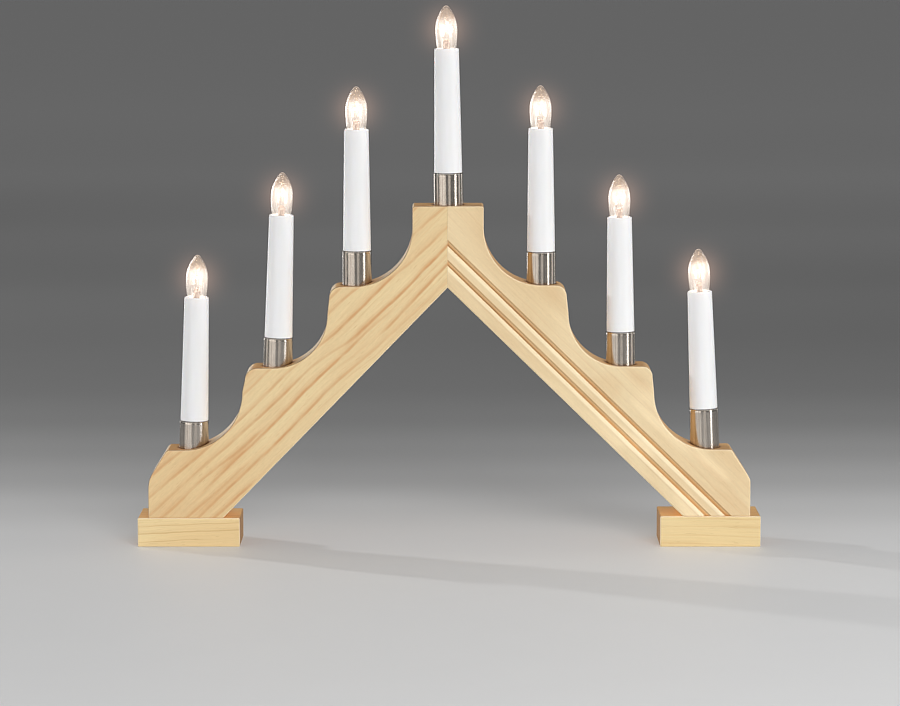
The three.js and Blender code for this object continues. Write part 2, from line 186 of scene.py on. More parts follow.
def curve(tree, value, points, low=0.0, high=1.0):
    """Smooth line through (place, height) points."""
    n = tree.nodes.new("ShaderNodeFloatCurve")
    x0, x1 = points[0][0], points[-1][0]
    line = n.mapping.curves[0]
    while len(line.points) < len(points):
        line.points.new(0.5, 0.5)
    for q, (x, h) in zip(line.points, points):
        q.location = ((x - x0) / (x1 - x0), (h - low) / (high - low))
    n.mapping.update()
    plug(tree, ((value - x0) / (x1 - x0)).clamp(), n.inputs["Value"])
    return Value(tree, n.outputs[0]) * (high - low) + low


def grey(tree, value):
    return combine(tree, value, value, value)


def srgb(r, g, b):
    def lin(c):
        c /= 255.0
        return c / 12.92 if c <= 0.04045 else ((c + 0.055) / 1.055) ** 2.4
    return (lin(r), lin(g), lin(b))


def material(name):
    m = bpy.data.materials.new(name)
    m.use_nodes = True
    t = m.node_tree
    p = t.nodes["Principled BSDF"]
    return m, t, p


def coords(tree, kind="Object"):
    return tree.nodes.new("ShaderNodeTexCoord").outputs[kind]


def scaled(tree, vector, k):
    n = tree.nodes.new("ShaderNodeVectorMath")
    n.operation = "SCALE"
    plug(tree, vector, n.inputs[0])
    n.inputs["Scale"].default_value = k
    return n.outputs[0]


def bump(tree, height, principled, strength, distance, also=None):
    n = tree.nodes.new("ShaderNodeBump")
    n.inputs["Strength"].default_value = strength
    n.inputs["Distance"].default_value = distance
    plug(tree, height, n.inputs["Height"])
    tree.links.new(n.outputs[0], principled.inputs["Normal"])
    if also:
        tree.links.new(n.outputs[0], principled.inputs[also])


# ------------------------------------------------------------------ wood
def pine(name, origin, along, across, *, light, dark, late, spacing=8.0, tilt=0.35, drift=0.0, warp=1.5, warp_len=0.007,
         wave=1.3, jitter=0.6, line=0.8, halo=0.6, shift=0.0, fibre=0.09, mottle=0.0, patch=0.5, rough=0.38, coat=0.12,
         end_dark=0.6, dashes=0.35, seed=0.0, rings=None, knots=(), sheen=0.0, front=None, groove=None, painted_curve_highlight=0.0,
         painted_arris_shade=0.0, painted_arris_highlight=0.75, sleeve_shade_posts=()):
    """Lacquered softwood: year rings as bands along the board, fine fibres, resin flecks, darker end grain.
    origin in mm, along and across are unit vectors of the board in the object's frame. front is the depth of the
    front face: what lies behind it (edges, tops) gets painted shade and a warmer sawn-grain tint, the rounded arris a
    painted highlight."""
    m, t, p = material(name)
    o = Vector(origin)
    a, c = Vector(along), Vector(across)
    pos = scaled(t, coords(t), 1000.0)
    L = dot(t, pos, a) - o.dot(a)
    S = dot(t, pos, c) - o.dot(c)
    T = dot(t, pos, a.cross(c).normalized()) + seed * 13.0
    depth = None if front is None else dot(t, pos, (0.0, 1.0, 0.0)) - front
    w1 = noise(t, combine(t, L * warp_len + seed, S * 0.013, T * 0.02), 1.0, 2.0, 0.45)
    w2 = noise(t, combine(t, L * 0.035 + seed * 3.1, S * 0.05, T * 0.05), 1.0, 2.0, 0.5)
    w3 = noise(t, combine(t, L * 0.12 + seed * 1.3, S * 0.2, T * 0.05), 1.0, 1.0, 0.5)
    R = S + T * tilt + L * drift + (w1 - 0.5) * (warp * 4.0) + (w2 - 0.5) * wave + (w3 - 0.5) * (wave * 0.35) + shift
    if rings:
        # every ring has its own run along the board and its own strength: ((place, height), ...), ((place, strength), ...)
        across_board = S + (w2 - 0.5) * wave + (w3 - 0.5) * (wave * 0.5) + (depth * tilt if front is not None else 0.0)
        band = warm = None
        lift = None
        for k, (run, power_of) in enumerate(rings):
            d = across_board - curve(t, L, run, -10.0, 70.0)
            live = curve(t, L, power_of, 0.0, 1.2)
            broken = noise(t, combine(t, L * 0.05 + seed + k * 3.7, d * 0.12, T * 0.02), 1.0, 2.0, 0.55)
            glow = noise(t, combine(t, L * 0.022 + seed * 2.0 + k * 5.1, d * 0.05, T * 0.02), 1.0, 2.0, 0.55).between(0.36, 0.62)
            one = d.between(-1.0, -0.15) * d.between(0.35, 1.55, 1.0, 0.0) * live * broken.between(0.36, 0.6, 0.35, 1.05)
            two = d.between(-1.0, 0.4) * d.between(0.5, 4.4, 1.0, 0.0).power(1.4) * live * (glow * 0.85 + 0.15)
            band = one if band is None else band.op("MAXIMUM", one)
            warm = two if warm is None else warm.op("MAXIMUM", two)
            if k == len(rings) // 2:
                lift = d
        band, warm = band * line, warm * halo
        R = R * 0.35 + lift * 0.65
        phase = R / 2.9 + (w1 - 0.5) * 3.0
        ring = phase.floor()
        mid = phase.fract()
        faint = mid.between(0.4, 0.9) * mid.between(0.9, 1.0, 1.0, 0.0) * noise(t, combine(t, L * 0.03, ring * 1.1, seed), 1.0, 1.0, 0.5).between(0.45, 0.7)
    else:
        R = R + (noise(t, None, 0.13, 1.0, 0.5, w=R + seed * 7.0) - 0.5) * jitter * 4.0
        phase = R / spacing
        ring = phase.floor()
        f = phase.fract()
        each = white(t, ring + seed)
        each2 = white(t, ring * 1.7 + 3.3 + seed)
        # late wood: a thin line, sharp below, fading above into a warm band of its own length
        fade = noise(t, combine(t, L * 0.018 + seed, ring * 2.3, T * 0.01), 1.0, 2.0, 0.5).between(0.32, 0.66, 0.1, 1.1)
        thin = (f.between(0.0, 0.13, 1.0, 0.0)).op("MAXIMUM", f.between(0.945, 1.0, 0.0, 1.0))
        band = thin * (each * 0.75 + 0.25) * fade * line
        hue = noise(t, combine(t, L * 0.016 + seed * 2.0, ring * 3.1, T * 0.02), 1.0, 2.0, 0.55).between(0.42, 0.7)
        warm = f.between(0.02, 0.55, 1.0, 0.0).power(1.5) * hue * (each2 * 0.8 + 0.2) * halo
        # fainter rings between the main ones
        mid = (phase * 2.37 + 0.3).fract()
        faint = mid.between(0.55, 0.95) * mid.between(0.95, 1.0, 1.0, 0.0) * noise(t, combine(t, L * 0.02, ring * 1.1, seed), 1.0, 1.0, 0.5).between(0.4, 0.7)
    for place, height, long, wide, much in knots:  # a warm stained spot
        a1, a2 = (L - place) / long, (S + (w2 - 0.5) * 3.0 - height) / wide
        warm = warm.op("MAXIMUM", ((a1 * a1 + a2 * a2) * -1.0).op("EXPONENT") * much)
    cloud = noise(t, combine(t, L * 0.014 + seed * 4.0, S * 0.085, T * 0.05), 1.0, 2.0, 0.55).between(0.45, 0.8) * patch
    fib1 = noise(t, combine(t, L * 0.06 + seed, R * 1.1, T * 1.1), 1.0, 5.0, 0.62)
    fib2 = noise(t, combine(t, L * 0.2 + seed, R * 4.2, T * 4.2), 1.0, 3.0, 0.6)
    soft = noise(t, combine(t, L * 0.008, S * 0.03 + seed, T * 0.03), 1.0, 2.0, 0.5)
    colour = blend_colour(t, soft.between(0.3, 0.72), light, dark)
    mix = lambda k: tuple(l * k + d * (1.0 - k) for l, d in zip(late, dark))
    if sheen:  # broad pale figure that crosses the board at a slant
        fig = noise(t, combine(t, L * 0.013 - S * 0.05, S * 0.03 + L * 0.012 + seed, T * 0.02), 1.0, 1.0, 0.5)
        colour = blend_colour(t, fig.between(0.5, 0.62) * L.between(110.0, 165.0, 0.3, 1.0) * sheen, colour,
                              tuple(min(1.0, v * 1.1 + 0.03) for v in light))
        colour = blend_colour(t, fig.between(0.36, 0.46, 1.0, 0.0) * (sheen * 0.5), colour, mix(0.35))
    colour = blend_colour(t, cloud.clamp(), colour, mix(0.3))
    colour = blend_colour(t, (faint * (line * 0.22)).clamp(), colour, late)
    colour = blend_colour(t, warm.clamp(), colour, mix(0.62))
    colour = blend_colour(t, band.clamp(), colour, late)
    tone = (fib1 - 0.5) * (fibre * 2.0) + (fib2 - 0.5) * fibre + 1.0
    if mottle:  # short silvery flecks of a quartered face
        ray = noise(t, combine(t, L * 0.35 + seed, S * 0.9, T * 0.9), 1.0, 3.0, 0.6)
        tone = tone + (ray - 0.5) * mottle
    fleck = noise(t, combine(t, L * 0.13 + seed * 5.0, R * 2.4, T * 2.4), 1.0, 1.0, 0.4).between(0.69, 0.78)
    colour = blend_colour(t, fleck * dashes, colour, tuple(v * 0.8 for v in late))
    # end grain drinks more lacquer and looks darker
    geo = t.nodes.new("ShaderNodeNewGeometry")
    facing = dot(t, geo.outputs["True Normal"], a).abs().power(2.0)
    tone = tone * (facing * (end_dark - 1.0) + 1.0)
    final = blend_colour(t, 1.0, colour, grey(t, tone), "MULTIPLY")
    final = blend_colour(t, facing * 0.6, final, blend_colour(t, 1.0, final, srgb(252, 224, 190), "MULTIPLY"))
    if rings:  # the board is warmer towards its foot
        final = blend_colour(t, L.between(140.0, 190.0) * 0.75, final, blend_colour(t, 1.0, final, srgb(252, 246, 240), "MULTIPLY"))
    if depth is not None:
        # painted shade on the tops and sides behind the front face, together with the warmer tint of sawn and sanded
        # grain
        side = depth.between(0.8, 1.6) * dot(t, geo.outputs["True Normal"], (0.0, 1.0, 0.0)).between(0.4, 0.8, 1.0, 0.0)
        if rings or groove:  # not in the wiring channel
            side = side * (S.between(10.5, 11.5) * S.between(25.0, 26.0, 1.0, 0.0) * depth.between(9.0, 10.0) * -1.0 + 1.0)
        final = blend_colour(t, side, final, blend_colour(t, 1.0, final, srgb(252, 227, 198), "MULTIPLY"))
        upward = dot(t, geo.outputs["True Normal"], c).between(0.25, 0.7)
        if painted_curve_highlight:  # painted highlight: the sawn curves of the left arm are lightened where they face the low lamp
            curved = dot(t, geo.outputs["True Normal"], (0.0, 0.0, 1.0)).between(0.2, 0.5)
            curved = curved * dot(t, geo.outputs["True Normal"], (-1.0, 0.0, 0.0)).between(0.3, 0.62)
            final = blend_colour(t, side * curved * painted_curve_highlight, final, srgb(255, 240, 212))
        arris = depth.between(0.03, 0.22) * depth.between(0.8, 1.1, 1.0, 0.0)
        for post in sleeve_shade_posts:  # painted contact shade darkens the wood round the foot of each sleeve
            px = dot(t, pos, (1.0, 0.0, 0.0)) - (post[1] - 11.0 * math.tan(math.radians(post[4])))
            py = dot(t, pos, (0.0, 1.0, 0.0)) - ARM_MID_Y
            near = ((px * px + py * py).power(0.5) - SLEEVE_R).between(0.3, 2.6, 1.0, 0.0)
            final = blend_colour(t, near * side * 0.8, final, blend_colour(t, 1.0, final, srgb(150, 118, 92), "MULTIPLY"))
        if groove:
            # painted light and shade in the grooves: the sloping strip lightened, a dark line along the bottom, a
            # darker upper lip and a highlight on the rounded crown
            inside = S.between(groove[0] - 0.4, groove[0], smooth=False) * S.between(groove[1], groove[1] + 0.4, 1.0, 0.0, smooth=False)
            inside = inside * depth.between(4.0, 4.5, 1.0, 0.0)
            u = ((S - groove[0]) / groove[2]).fract() * groove[2]     # place across one groove
            tan = u.between(2.85, 3.05) * u.between(5.6, 5.9, 1.0, 0.0) * inside
            groove_bottom_shade = u.between(2.7, 2.95) * u.between(3.35, 3.95, 1.0, 0.0) * inside
            groove_lip_shade = u.between(4.9, 5.2) * u.between(5.7, 5.95, 1.0, 0.0) * inside
            groove_crown_highlight = u.between(0.15, 1.0) * u.between(2.75, 2.9, 1.0, 0.0) * inside
            arris = arris * (inside * -1.0 + 1.0)
            # the painted bottom shade weakens further along the arm
            bottom_shade_fade = L.between(70.0, 130.0, 1.0, 0.45)
            final = blend_colour(t, tan * L.between(80.0, 125.0, 0.34, 0.14), final, srgb(250, 228, 188))
            final = blend_colour(t, groove_bottom_shade * bottom_shade_fade * 0.72, final, blend_colour(t, 1.0, final, srgb(176, 150, 114), "MULTIPLY"))
            final = blend_colour(t, groove_lip_shade * 0.8, final, blend_colour(t, 1.0, final, srgb(204, 176, 146), "MULTIPLY"))
            final = blend_colour(t, groove_crown_highlight * 0.5, final, srgb(252, 238, 206))
        # painted shade on the arris that faces up across the board
        if painted_arris_shade:
            final = blend_colour(t, arris * upward * painted_arris_shade, final, blend_colour(t, 1.0, final, srgb(168, 150, 132), "MULTIPLY"))
            arris = arris * (upward * -1.0 + 1.0)
        # painted highlight along the rounded arris
        final = blend_colour(t, arris * painted_arris_highlight, final, srgb(252, 234, 202))
    t.links.new(final, p.inputs["Base Color"])
    r = (fib1 - 0.5) * 0.16 + band * -0.06 + facing * 0.18 + rough
    plug(t, r, p.inputs["Roughness"])
    p.inputs["Specular IOR Level"].default_value = 0.3
    p.inputs["Coat Weight"].default_value = coat
    p.inputs["Coat Roughness"].default_value = 0.3
    height = fib1 * 0.5 + fib2 * 0.35 + band * 0.5 - fleck * 0.3
    bump(t, height, p, 0.32, 0.00012)
    return m


def arm_frame(a):
    angle = math.atan(a["slope"])
    s = a["side"]
    return (MITRE_X, 0.0, LOWER_APEX_Z), (s * math.cos(angle), 0.0, -math.sin(angle)), (s * math.sin(angle), 0.0, math.cos(angle))


# the year rings of the left arm, from the lower edge up: run (place along the arm, height) and strength
LEFT_RINGS = [
    (((-45, -6), (120, -2), (150, 0.3), (170, 1.5), (195, 3.0), (240, 5.5)), ((-45, 0), (150, 0), (172, 0.3), (190, 0.75), (210, 0.7), (240, 0.5))),
    (((-45, -1), (5, 3.0), (25, 4.0), (45, 5.0), (60, 5.8), (80, 7.5), (95, 8.6), (145, 9.1), (160, 9.5), (180, 10.3), (195, 11.0), (240, 11.6)),
     ((-45, 0.2), (70, 0.36), (85, 0.6), (125, 0.8), (140, 1.1), (155, 0.9), (200, 0.7), (240, 0.4))),
    (((-45, 12), (-5, 10.2), (20, 10.0), (45, 9.7), (60, 11), (80, 12.5), (120, 13), (160, 12.8), (175, 13.2), (200, 15.0), (225, 17), (240, 19)),
     ((-45, 0.8), (35, 0.75), (48, 0.45), (60, 0.1), (160, 0.12), (180, 0.45), (215, 0.6), (240, 0.4))),
    (((-45, 14.5), (-5, 14.5), (15, 15), (35, 15.5), (55, 17), (75, 17.6), (95, 18.5), (110, 19), (155, 19.1), (175, 20.4), (225, 20.6), (240, 21)),
     ((-45, 0.2), (40, 0.3), (60, 0.5), (78, 0.9), (150, 0.95), (180, 0.75), (200, 0.45), (215, 0.1), (240, 0.1))),
    (((-45, 18), (-15, 18.5), (25, 18.6), (45, 19.6), (62, 20.2), (75, 22.5), (88, 25.3), (100, 27.0), (125, 27.6), (145, 28.5), (165, 29.6), (185, 31.5), (205, 33), (240, 35)),
     ((-45, 1.0), (35, 1.0), (60, 0.8), (75, 0.45), (105, 0.5), (125, 0.75), (150, 0.7), (170, 0.45), (240, 0.45))),
    (((-45, 20), (140, 21.2), (165, 22.4), (185, 25), (200, 26.8), (225, 27.5), (240, 30)), ((-45, 0), (138, 0), (150, 0.4), (165, 0.7), (185, 0.5), (240, 0.5))),
    (((-45, 26.3), (-15, 27), (5, 28), (20, 29.6), (35, 30), (55, 30.5), (75, 31.6), (95, 34), (112, 35.4), (140, 35.6), (160, 36.4), (180, 38.3), (205, 40.5), (240, 44)),
     ((-45, 0.55), (5, 0.55), (25, 0.85), (50, 0.85), (75, 0.6), (95, 0.35), (120, 0.6), (160, 0.45), (185, 0.55), (240, 0.55))),
    (((-45, 36), (-15, 38.5), (35, 40), (48, 42), (60, 42.6), (115, 45), (135, 45.6), (195, 49), (210, 50.8), (240, 52)), ((-45, 0.4), (45, 0.6), (100, 0.5), (190, 0.5), (205, 0.75), (240, 0.5))),
    (((-45, 48), (-25, 49.5), (45, 48.6), (60, 49), (125, 52.5), (195, 53.5), (240, 56)), ((-45, 0.4), (45, 0.5), (130, 0.35), (240, 0.35))),
]
PINE_LEFT = pine(
    "pine_left_arm", *arm_frame(ARMS["left"]), light=srgb(233, 209, 162), dark=srgb(227, 199, 153), late=srgb(205, 142, 86),
    tilt=0.45, warp=0.9, wave=1.1, line=0.56, halo=0.72, patch=0.45, seed=0.37, mottle=0.12, rings=LEFT_RINGS,
    knots=((56.0, 20.3, 17.0, 2.0, 0.75), (174.0, 21.8, 20.0, 2.3, 0.65), (205.0, 13.2, 18.0, 3.2, 0.5), (150.0, 9.5, 20.0, 1.8, 0.3)),
    front=ARM_FRONT_Y, painted_curve_highlight=0.7, painted_arris_shade=0.75, sleeve_shade_posts=CANDLES[:4])
PINE_RIGHT = pine(
    "pine_right_arm", *arm_frame(ARMS["right"]), light=srgb(235, 213, 172), dark=srgb(229, 203, 160), late=srgb(206, 164, 116),
    spacing=5.2, tilt=0.8, warp=1.0, line=0.22, halo=0.3, patch=0.35, fibre=0.07, mottle=0.10, seed=1.9, sheen=0.8, dashes=0.2,
    knots=((8.0, 40.0, 26.0, 13.0, 0.3), (128.0, 43.5, 12.0, 4.0, 0.5), (50.0, 45.0, 11.0, 6.0, 0.5), (168.0, 35.0, 30.0, 1.6, 0.4), (205.0, 33.5, 22.0, 2.2, 0.4)),
    front=ARM_FRONT_Y, painted_arris_highlight=0.45, sleeve_shade_posts=CANDLES[3:], groove=(GROOVE_START, GROOVE_START + 2 * GROOVE_PITCH - 3.0, GROOVE_PITCH))
PINE_FOOT_LEFT = pine(
    "pine_left_foot", (-167.0, 0.0, 0.0), (1.0, 0.0, 0.0), (0.0, 0.0, 1.0), light=srgb(240, 219, 169), dark=srgb(234, 206, 155),
    late=srgb(196, 152, 90), spacing=5.0, tilt=0.75, drift=-0.05, warp=0.9, warp_len=0.016, wave=1.8, line=0.6, halo=0.5, patch=0.35,
    seed=4.2, end_dark=0.5, front=FOOT_FRONT_Y)
PINE_FOOT_RIGHT = pine(
    "pine_right_foot", (167.0, 0.0, 0.0), (1.0, 0.0, 0.0), (0.0, 0.0, 1.0), light=srgb(236, 213, 163), dark=srgb(229, 202, 150),
    late=srgb(206, 162, 102), spacing=5.6, tilt=-0.6, drift=0.015, warp=0.8, warp_len=0.012, line=0.5, halo=0.55, patch=0.4,
    seed=6.6, end_dark=0.5, front=FOOT_FRONT_Y)
BEECH = pine(
    "beech_dowel", (MITRE_X, -11.5, 182.0), (1.0, 0.0, 0.0), (0.0, 0.0, 1.0), light=srgb(216, 180, 140), dark=srgb(203, 164, 122),
    late=srgb(176, 130, 92), spacing=1.1, tilt=0.4, warp=0.3, line=0.5, fibre=0.12, coat=0.0, rough=0.6, seed=8.0)


# ------------------------------------------------------------------ metals, plastic, glass
def brushed_nickel():
    m, t, p = material("brushed_nickel")
    pos = scaled(t, coords(t), 1000.0)
    sep = t.nodes.new("ShaderNodeSeparateXYZ")
    t.links.new(pos, sep.inputs[0])
    x, y, z = (Value(t, s) for s in sep.outputs)
    # drawn tube: streaks run lengthways, with slow changes from handling
    lines = noise(t, combine(t, x * 2.4, y * 2.4, z * 0.03), 1.0, 4.0, 0.65)
    coarse = noise(t, combine(t, x * 0.75, y * 0.75, z * 0.02), 1.0, 2.0, 0.5)
    cloud = noise(t, pos, 0.16, 3.0, 0.55)
    colour = blend_colour(t, (lines * 0.45 + coarse * 0.4 + cloud * 0.15).between(0.3, 0.7), srgb(180, 171, 161), srgb(220, 212, 202))
    # painted highlight: a lighter band just under the rolled rim
    colour = blend_colour(t, z.between(-1.6, -1.0) * 0.3, colour, srgb(226, 221, 214))
    # painted shade: a dark line where the rim rolls in
    colour = blend_colour(t, z.between(-0.62, -0.3) * 0.75, colour, srgb(92, 80, 70))
    t.links.new(colour, p.inputs["Base Color"])
    p.inputs["Metallic"].default_value = 1.0
    plug(t, lines * 0.06 + coarse * 0.05 + cloud * 0.04 + 0.18, p.inputs["Roughness"])
    p.inputs["Anisotropic"].default_value = 0.7
    p.inputs["Anisotropic Rotation"].default_value = 0.25
    tangent = t.nodes.new("ShaderNodeTangent")
    tangent.direction_type, tangent.axis = "RADIAL", "Z"
    t.links.new(tangent.outputs[0], p.inputs["Tangent"])
    bump(t, lines * 0.7 + coarse * 0.3, p, 0.03, 0.00002)
    return m


def white_plastic():
    m, t, p = material("white_plastic")
    pos = scaled(t, coords(t), 1000.0)
    sep = t.nodes.new("ShaderNodeSeparateXYZ")
    t.links.new(pos, sep.inputs[0])
    x, y, z = (Value(t, s) for s in sep.outputs)
    # slow ripples of the moulding down the length, and a very fine satin grain
    flow = noise(t, combine(t, x * 0.16, y * 0.16, z * 0.02), 1.0, 2.0, 0.5)
    grain = noise(t, pos, 2.6, 3.0, 0.6)
    colour = blend_colour(t, flow.between(0.3, 0.7), srgb(243, 243, 244), srgb(238, 238, 238))
    t.links.new(colour, p.inputs["Base Color"])
    plug(t, grain * 0.1 + flow * 0.06 + 0.3, p.inputs["Roughness"])
    p.inputs["Subsurface Weight"].default_value = 0.12
    p.inputs["Subsurface Radius"].default_value = (1.0, 0.75, 0.55)
    p.inputs["Subsurface Scale"].default_value = 0.0015
    p.inputs["Specular IOR Level"].default_value = 0.5
    bump(t, flow * 1.0 + grain * 0.12, p, 0.2, 0.00016)
    return m


def socket_plastic():
    m, t, p = material("socket_plastic")
    pos = scaled(t, coords(t), 1000.0)
    n = noise(t, pos, 0.9, 4.0, 0.6)
    t.links.new(blend_colour(t, n, srgb(226, 222, 212), srgb(206, 201, 190)), p.inputs["Base Color"])
    plug(t, n * 0.2 + 0.4, p.inputs["Roughness"])
    bump(t, n, p, 0.2, 0.0001)
    return m


def plated(name, low, high, rough):
    m, t, p = material(name)
    pos = scaled(t, coords(t), 1000.0)
    n = noise(t, pos, 0.8, 5.0, 0.65)
    f = noise(t, pos, 6.0, 2.0, 0.5)
    t.links.new(blend_colour(t, n.between(0.3, 0.7), low, high), p.inputs["Base Color"])
    p.inputs["Metallic"].default_value = 1.0
    plug(t, n * 0.22 + f * 0.08 + rough, p.inputs["Roughness"])
    bump(t, n * 0.6 + f * 0.4, p, 0.15, 0.00005)
    return m


def cable_cover():
    m, t, p = material("cable")
    pos = scaled(t, coords(t), 1000.0)
    n = noise(t, pos, 1.4, 4.0, 0.6)
    t.links.new(blend_colour(t, n, srgb(233, 230, 222), srgb(216, 211, 200)), p.inputs["Base Color"])
    plug(t, n * 0.15 + 0.38, p.inputs["Roughness"])
    bump(t, n, p, 0.15, 0.0001)
    return m


GLASS_GLOW = [(0.0, 0.22), (3.0, 0.24), (5.5, 0.27), (8.0, 0.32), (11.5, 0.40), (15.0, 0.40), (18.0, 0.29), (20.5, 0.17), (23.0, 0.13), (27.5, 0.10)]


def glass(name, glowing):
    """Thin clear glass. The inside carries a painted glow for the light that the filament throws on it, by height above
    the tube.
    """
    m, t, p = material(name)
    pos = scaled(t, coords(t), 1000.0)
    sep = t.nodes.new("ShaderNodeSeparateXYZ")
    t.links.new(pos, sep.inputs[0])
    x, y, z = (Value(t, s) for s in sep.outputs)
    streak = noise(t, combine(t, x * 0.85, y * 0.85, z * 0.05), 1.0, 3.0, 0.6)
    # painted shade: a brownish tint in the upper glass stands in for what refraction shows at the tip
    painted_tip_shade = z.between(14.5, 20.0) * noise(t, combine(t, x * 0.5, y * 0.5, z * 0.16), 1.0, 2.0, 0.6).between(0.36, 0.6)
    t.links.new(blend_colour(t, painted_tip_shade, (0.98, 0.965, 0.94), (0.93, 0.86, 0.78)), p.inputs["Base Color"])
    plug(t, streak * 0.05 + 0.02, p.inputs["Roughness"])
    p.inputs["IOR"].default_value = 1.45
    p.inputs["Transmission Weight"].default_value = 1.0
    bump(t, streak, p, 0.35, 0.0004)
    if glowing:
        ramp = t.nodes.new("ShaderNodeValToRGB")
        ramp.color_ramp.interpolation = "B_SPLINE"
        stops = GLASS_GLOW
        top = 27.5
        while len(ramp.color_ramp.elements) < len(stops):
            ramp.color_ramp.elements.new(0.5)
        for e, (h, v) in zip(ramp.color_ramp.elements, stops):
            e.position = h / top
            e.color = (v, v, v, 1.0)
        plug(t, z / top, ramp.inputs[0])
        bw = t.nodes.new("ShaderNodeRGBToBW")
        t.links.new(ramp.outputs[0], bw.inputs[0])
        strength = Value(t, bw.outputs[0]) * streak.between(0.3, 0.7, 0.6, 1.4)
        plug(t, strength, p.inputs["Emission Strength"])
        t.links.new(blend_colour(t, z.between(16.5, 21.5), (1.0, 0.90, 0.80), (1.0, 0.74, 0.55)), p.inputs["Emission Color"])
    return m


def glowing_wire():
    m, t, p = material("filament_wire")
    pos = scaled(t, coords(t), 1000.0)
    n = noise(t, pos, 1.5, 2.0, 0.5)
    t.links.new(blend_colour(t, n, srgb(90, 84, 80), srgb(130, 120, 110)), p.inputs["Base Color"])
    p.inputs["Metallic"].default_value = 1.0
    plug(t, n * 0.2 + 0.3, p.inputs["Roughness"])
    p.inputs["Emission Color"].default_value = (1.0, 0.86, 0.68, 1.0)
    p.inputs["Emission Strength"].default_value = 50.0
    return m


def stem_glass():
    m, t, p = material("stem_glass")
    pos = scaled(t, coords(t), 1000.0)
    n = noise(t, pos, 0.75, 3.0, 0.6)
    # painted glints: pale spots with a faint glow stand in for the filament's light caught in the stem
    stem_glints = noise(t, pos, 1.1, 1.0, 0.4).between(0.52, 0.68)
    base = blend_colour(t, n, srgb(120, 98, 88), srgb(160, 140, 128))
    t.links.new(blend_colour(t, stem_glints, base, srgb(208, 190, 178)), p.inputs["Base Color"])
    plug(t, n * 0.2 + 0.12, p.inputs["Roughness"])
    p.inputs["Emission Color"].default_value = (1.0, 0.82, 0.70, 1.0)
    plug(t, stem_glints * 0.08 + 0.01, p.inputs["Emission Strength"])
    bump(t, n, p, 0.3, 0.0002)
    return m


NICKEL = brushed_nickel()
PLASTIC = white_plastic()
SOCKET = socket_plastic()
ZINC = plated("zinc_steel", srgb(176, 160, 118), srgb(214, 200, 158), 0.22)
BRASS = plated("cap_metal", srgb(176, 150, 96), srgb(212, 188, 132), 0.2)
SOLDER = plated("solder", srgb(150, 148, 144), srgb(190, 188, 184), 0.3)
STEEL = plated("staple_steel", srgb(150, 150, 150), srgb(196, 196, 194), 0.25)
CABLE = cable_cover()
GLASS_SHELL = glass("clear_glass", False)
GLASS_LIT = glass("clear_glass_inside", True)
WIRE = glowing_wire()
STEM = stem_glass()


# ------------------------------------------------------------------ mesh helpers (built in mm, stored in metres)
def finish_mesh(bm, name, materials, angle=40.0, weighted=True, matrix=None, scale=MM):
    bmesh.ops.recalc_face_normals(bm, faces=bm.faces)
    me = bpy.data.meshes.new(name)
    bm.to_mesh(me)
    bm.free()
    me.transform(Matrix.Scale(scale, 4))
    me.shade_smooth()
    me.set_sharp_from_angle(angle=math.radians(angle))
    for m in materials:
        me.materials.append(m)
    o = bpy.data.objects.new(name, me)
    bpy.context.scene.collection.objects.link(o)
    if matrix is not None:
        o.matrix_world = matrix
    if weighted:
        w = o.modifiers.new("normals", "WEIGHTED_NORMAL")
        w.keep_sharp = True
        w.weight = 80
    return o


def arc(cx, cy, r, a0, a1, n):
    return [(cx + r * math.cos(a0 + (a1 - a0) * i / n), cy + r * math.sin(a0 + (a1 - a0) * i / n)) for i in range(n + 1)]


def prism(outline, y0, y1, to_world):
    """Closed prism over a plane outline [(u, v)]; to_world(u, v, y) gives the corner."""
    bm = bmesh.new()
    front = [bm.verts.new(to_world(u, v, y0)) for u, v in outline]
    back = [bm.verts.new(to_world(u, v, y1)) for u, v in outline]
    bm.faces.new(front)
    bm.faces.new(list(reversed(back)))
    n = len(outline)
    for i in range(n):
        j = (i + 1) % n
        bm.faces.new((front[j], front[i], back[i], back[j]))
    bm.normal_update()
    return bm


def spin(profile, segments, closed=False):
    """Turned mesh: profile points are (radius, height)."""
    bm = bmesh.new()
    rings = []
    for r, h in profile:
        if r < 1e-6:
            rings.append([bm.verts.new((0.0, 0.0, h))])
        else:
            rings.append([bm.verts.new((r * math.cos(2 * math.pi * k / segments), r * math.sin(2 * math.pi * k / segments), h))
                          for k in range(segments)])
    pairs = list(zip(rings, rings[1:])) + ([(rings[-1], rings[0])] if closed else [])
    for a, b in pairs:
        for k in range(segments):
            j = (k + 1) % segments
            if len(a) == 1 and len(b) == 1:
                break
            if len(a) == 1:
                bm.faces.new((a[0], b[k], b[j]))
            elif len(b) == 1:
                bm.faces.new((a[k], a[j], b[0]))
            else:
                bm.faces.new((a[k], a[j], b[j], b[k]))
    return bm


def smooth_line(points, n, closed=False):
    """Catmull-Rom through the points, n steps between neighbours."""
    pts = [Vector(p) for p in points]
    out = []
    count = len(pts) if closed else len(pts) - 1
    for i in range(count):
        if closed:
            p0, p1, p2, p3 = pts[i - 1], pts[i], pts[(i + 1) % len(pts)], pts[(i + 2) % len(pts)]
        else:
            p1, p2 = pts[i], pts[i + 1]
            p0 = pts[i - 1] if i else p1 * 2 - p2
            p3 = pts[i + 2] if i + 2 < len(pts) else p2 * 2 - p1
        for k in range(n):
            s = k / n
            out.append(0.5 * ((2 * p1) + (p2 - p0) * s + (2 * p0 - 5 * p1 + 4 * p2 - p3) * s * s + (3 * p1 - p0 - 3 * p2 + p3) * s ** 3))
    if not closed:
        out.append(pts[-1])
    return out


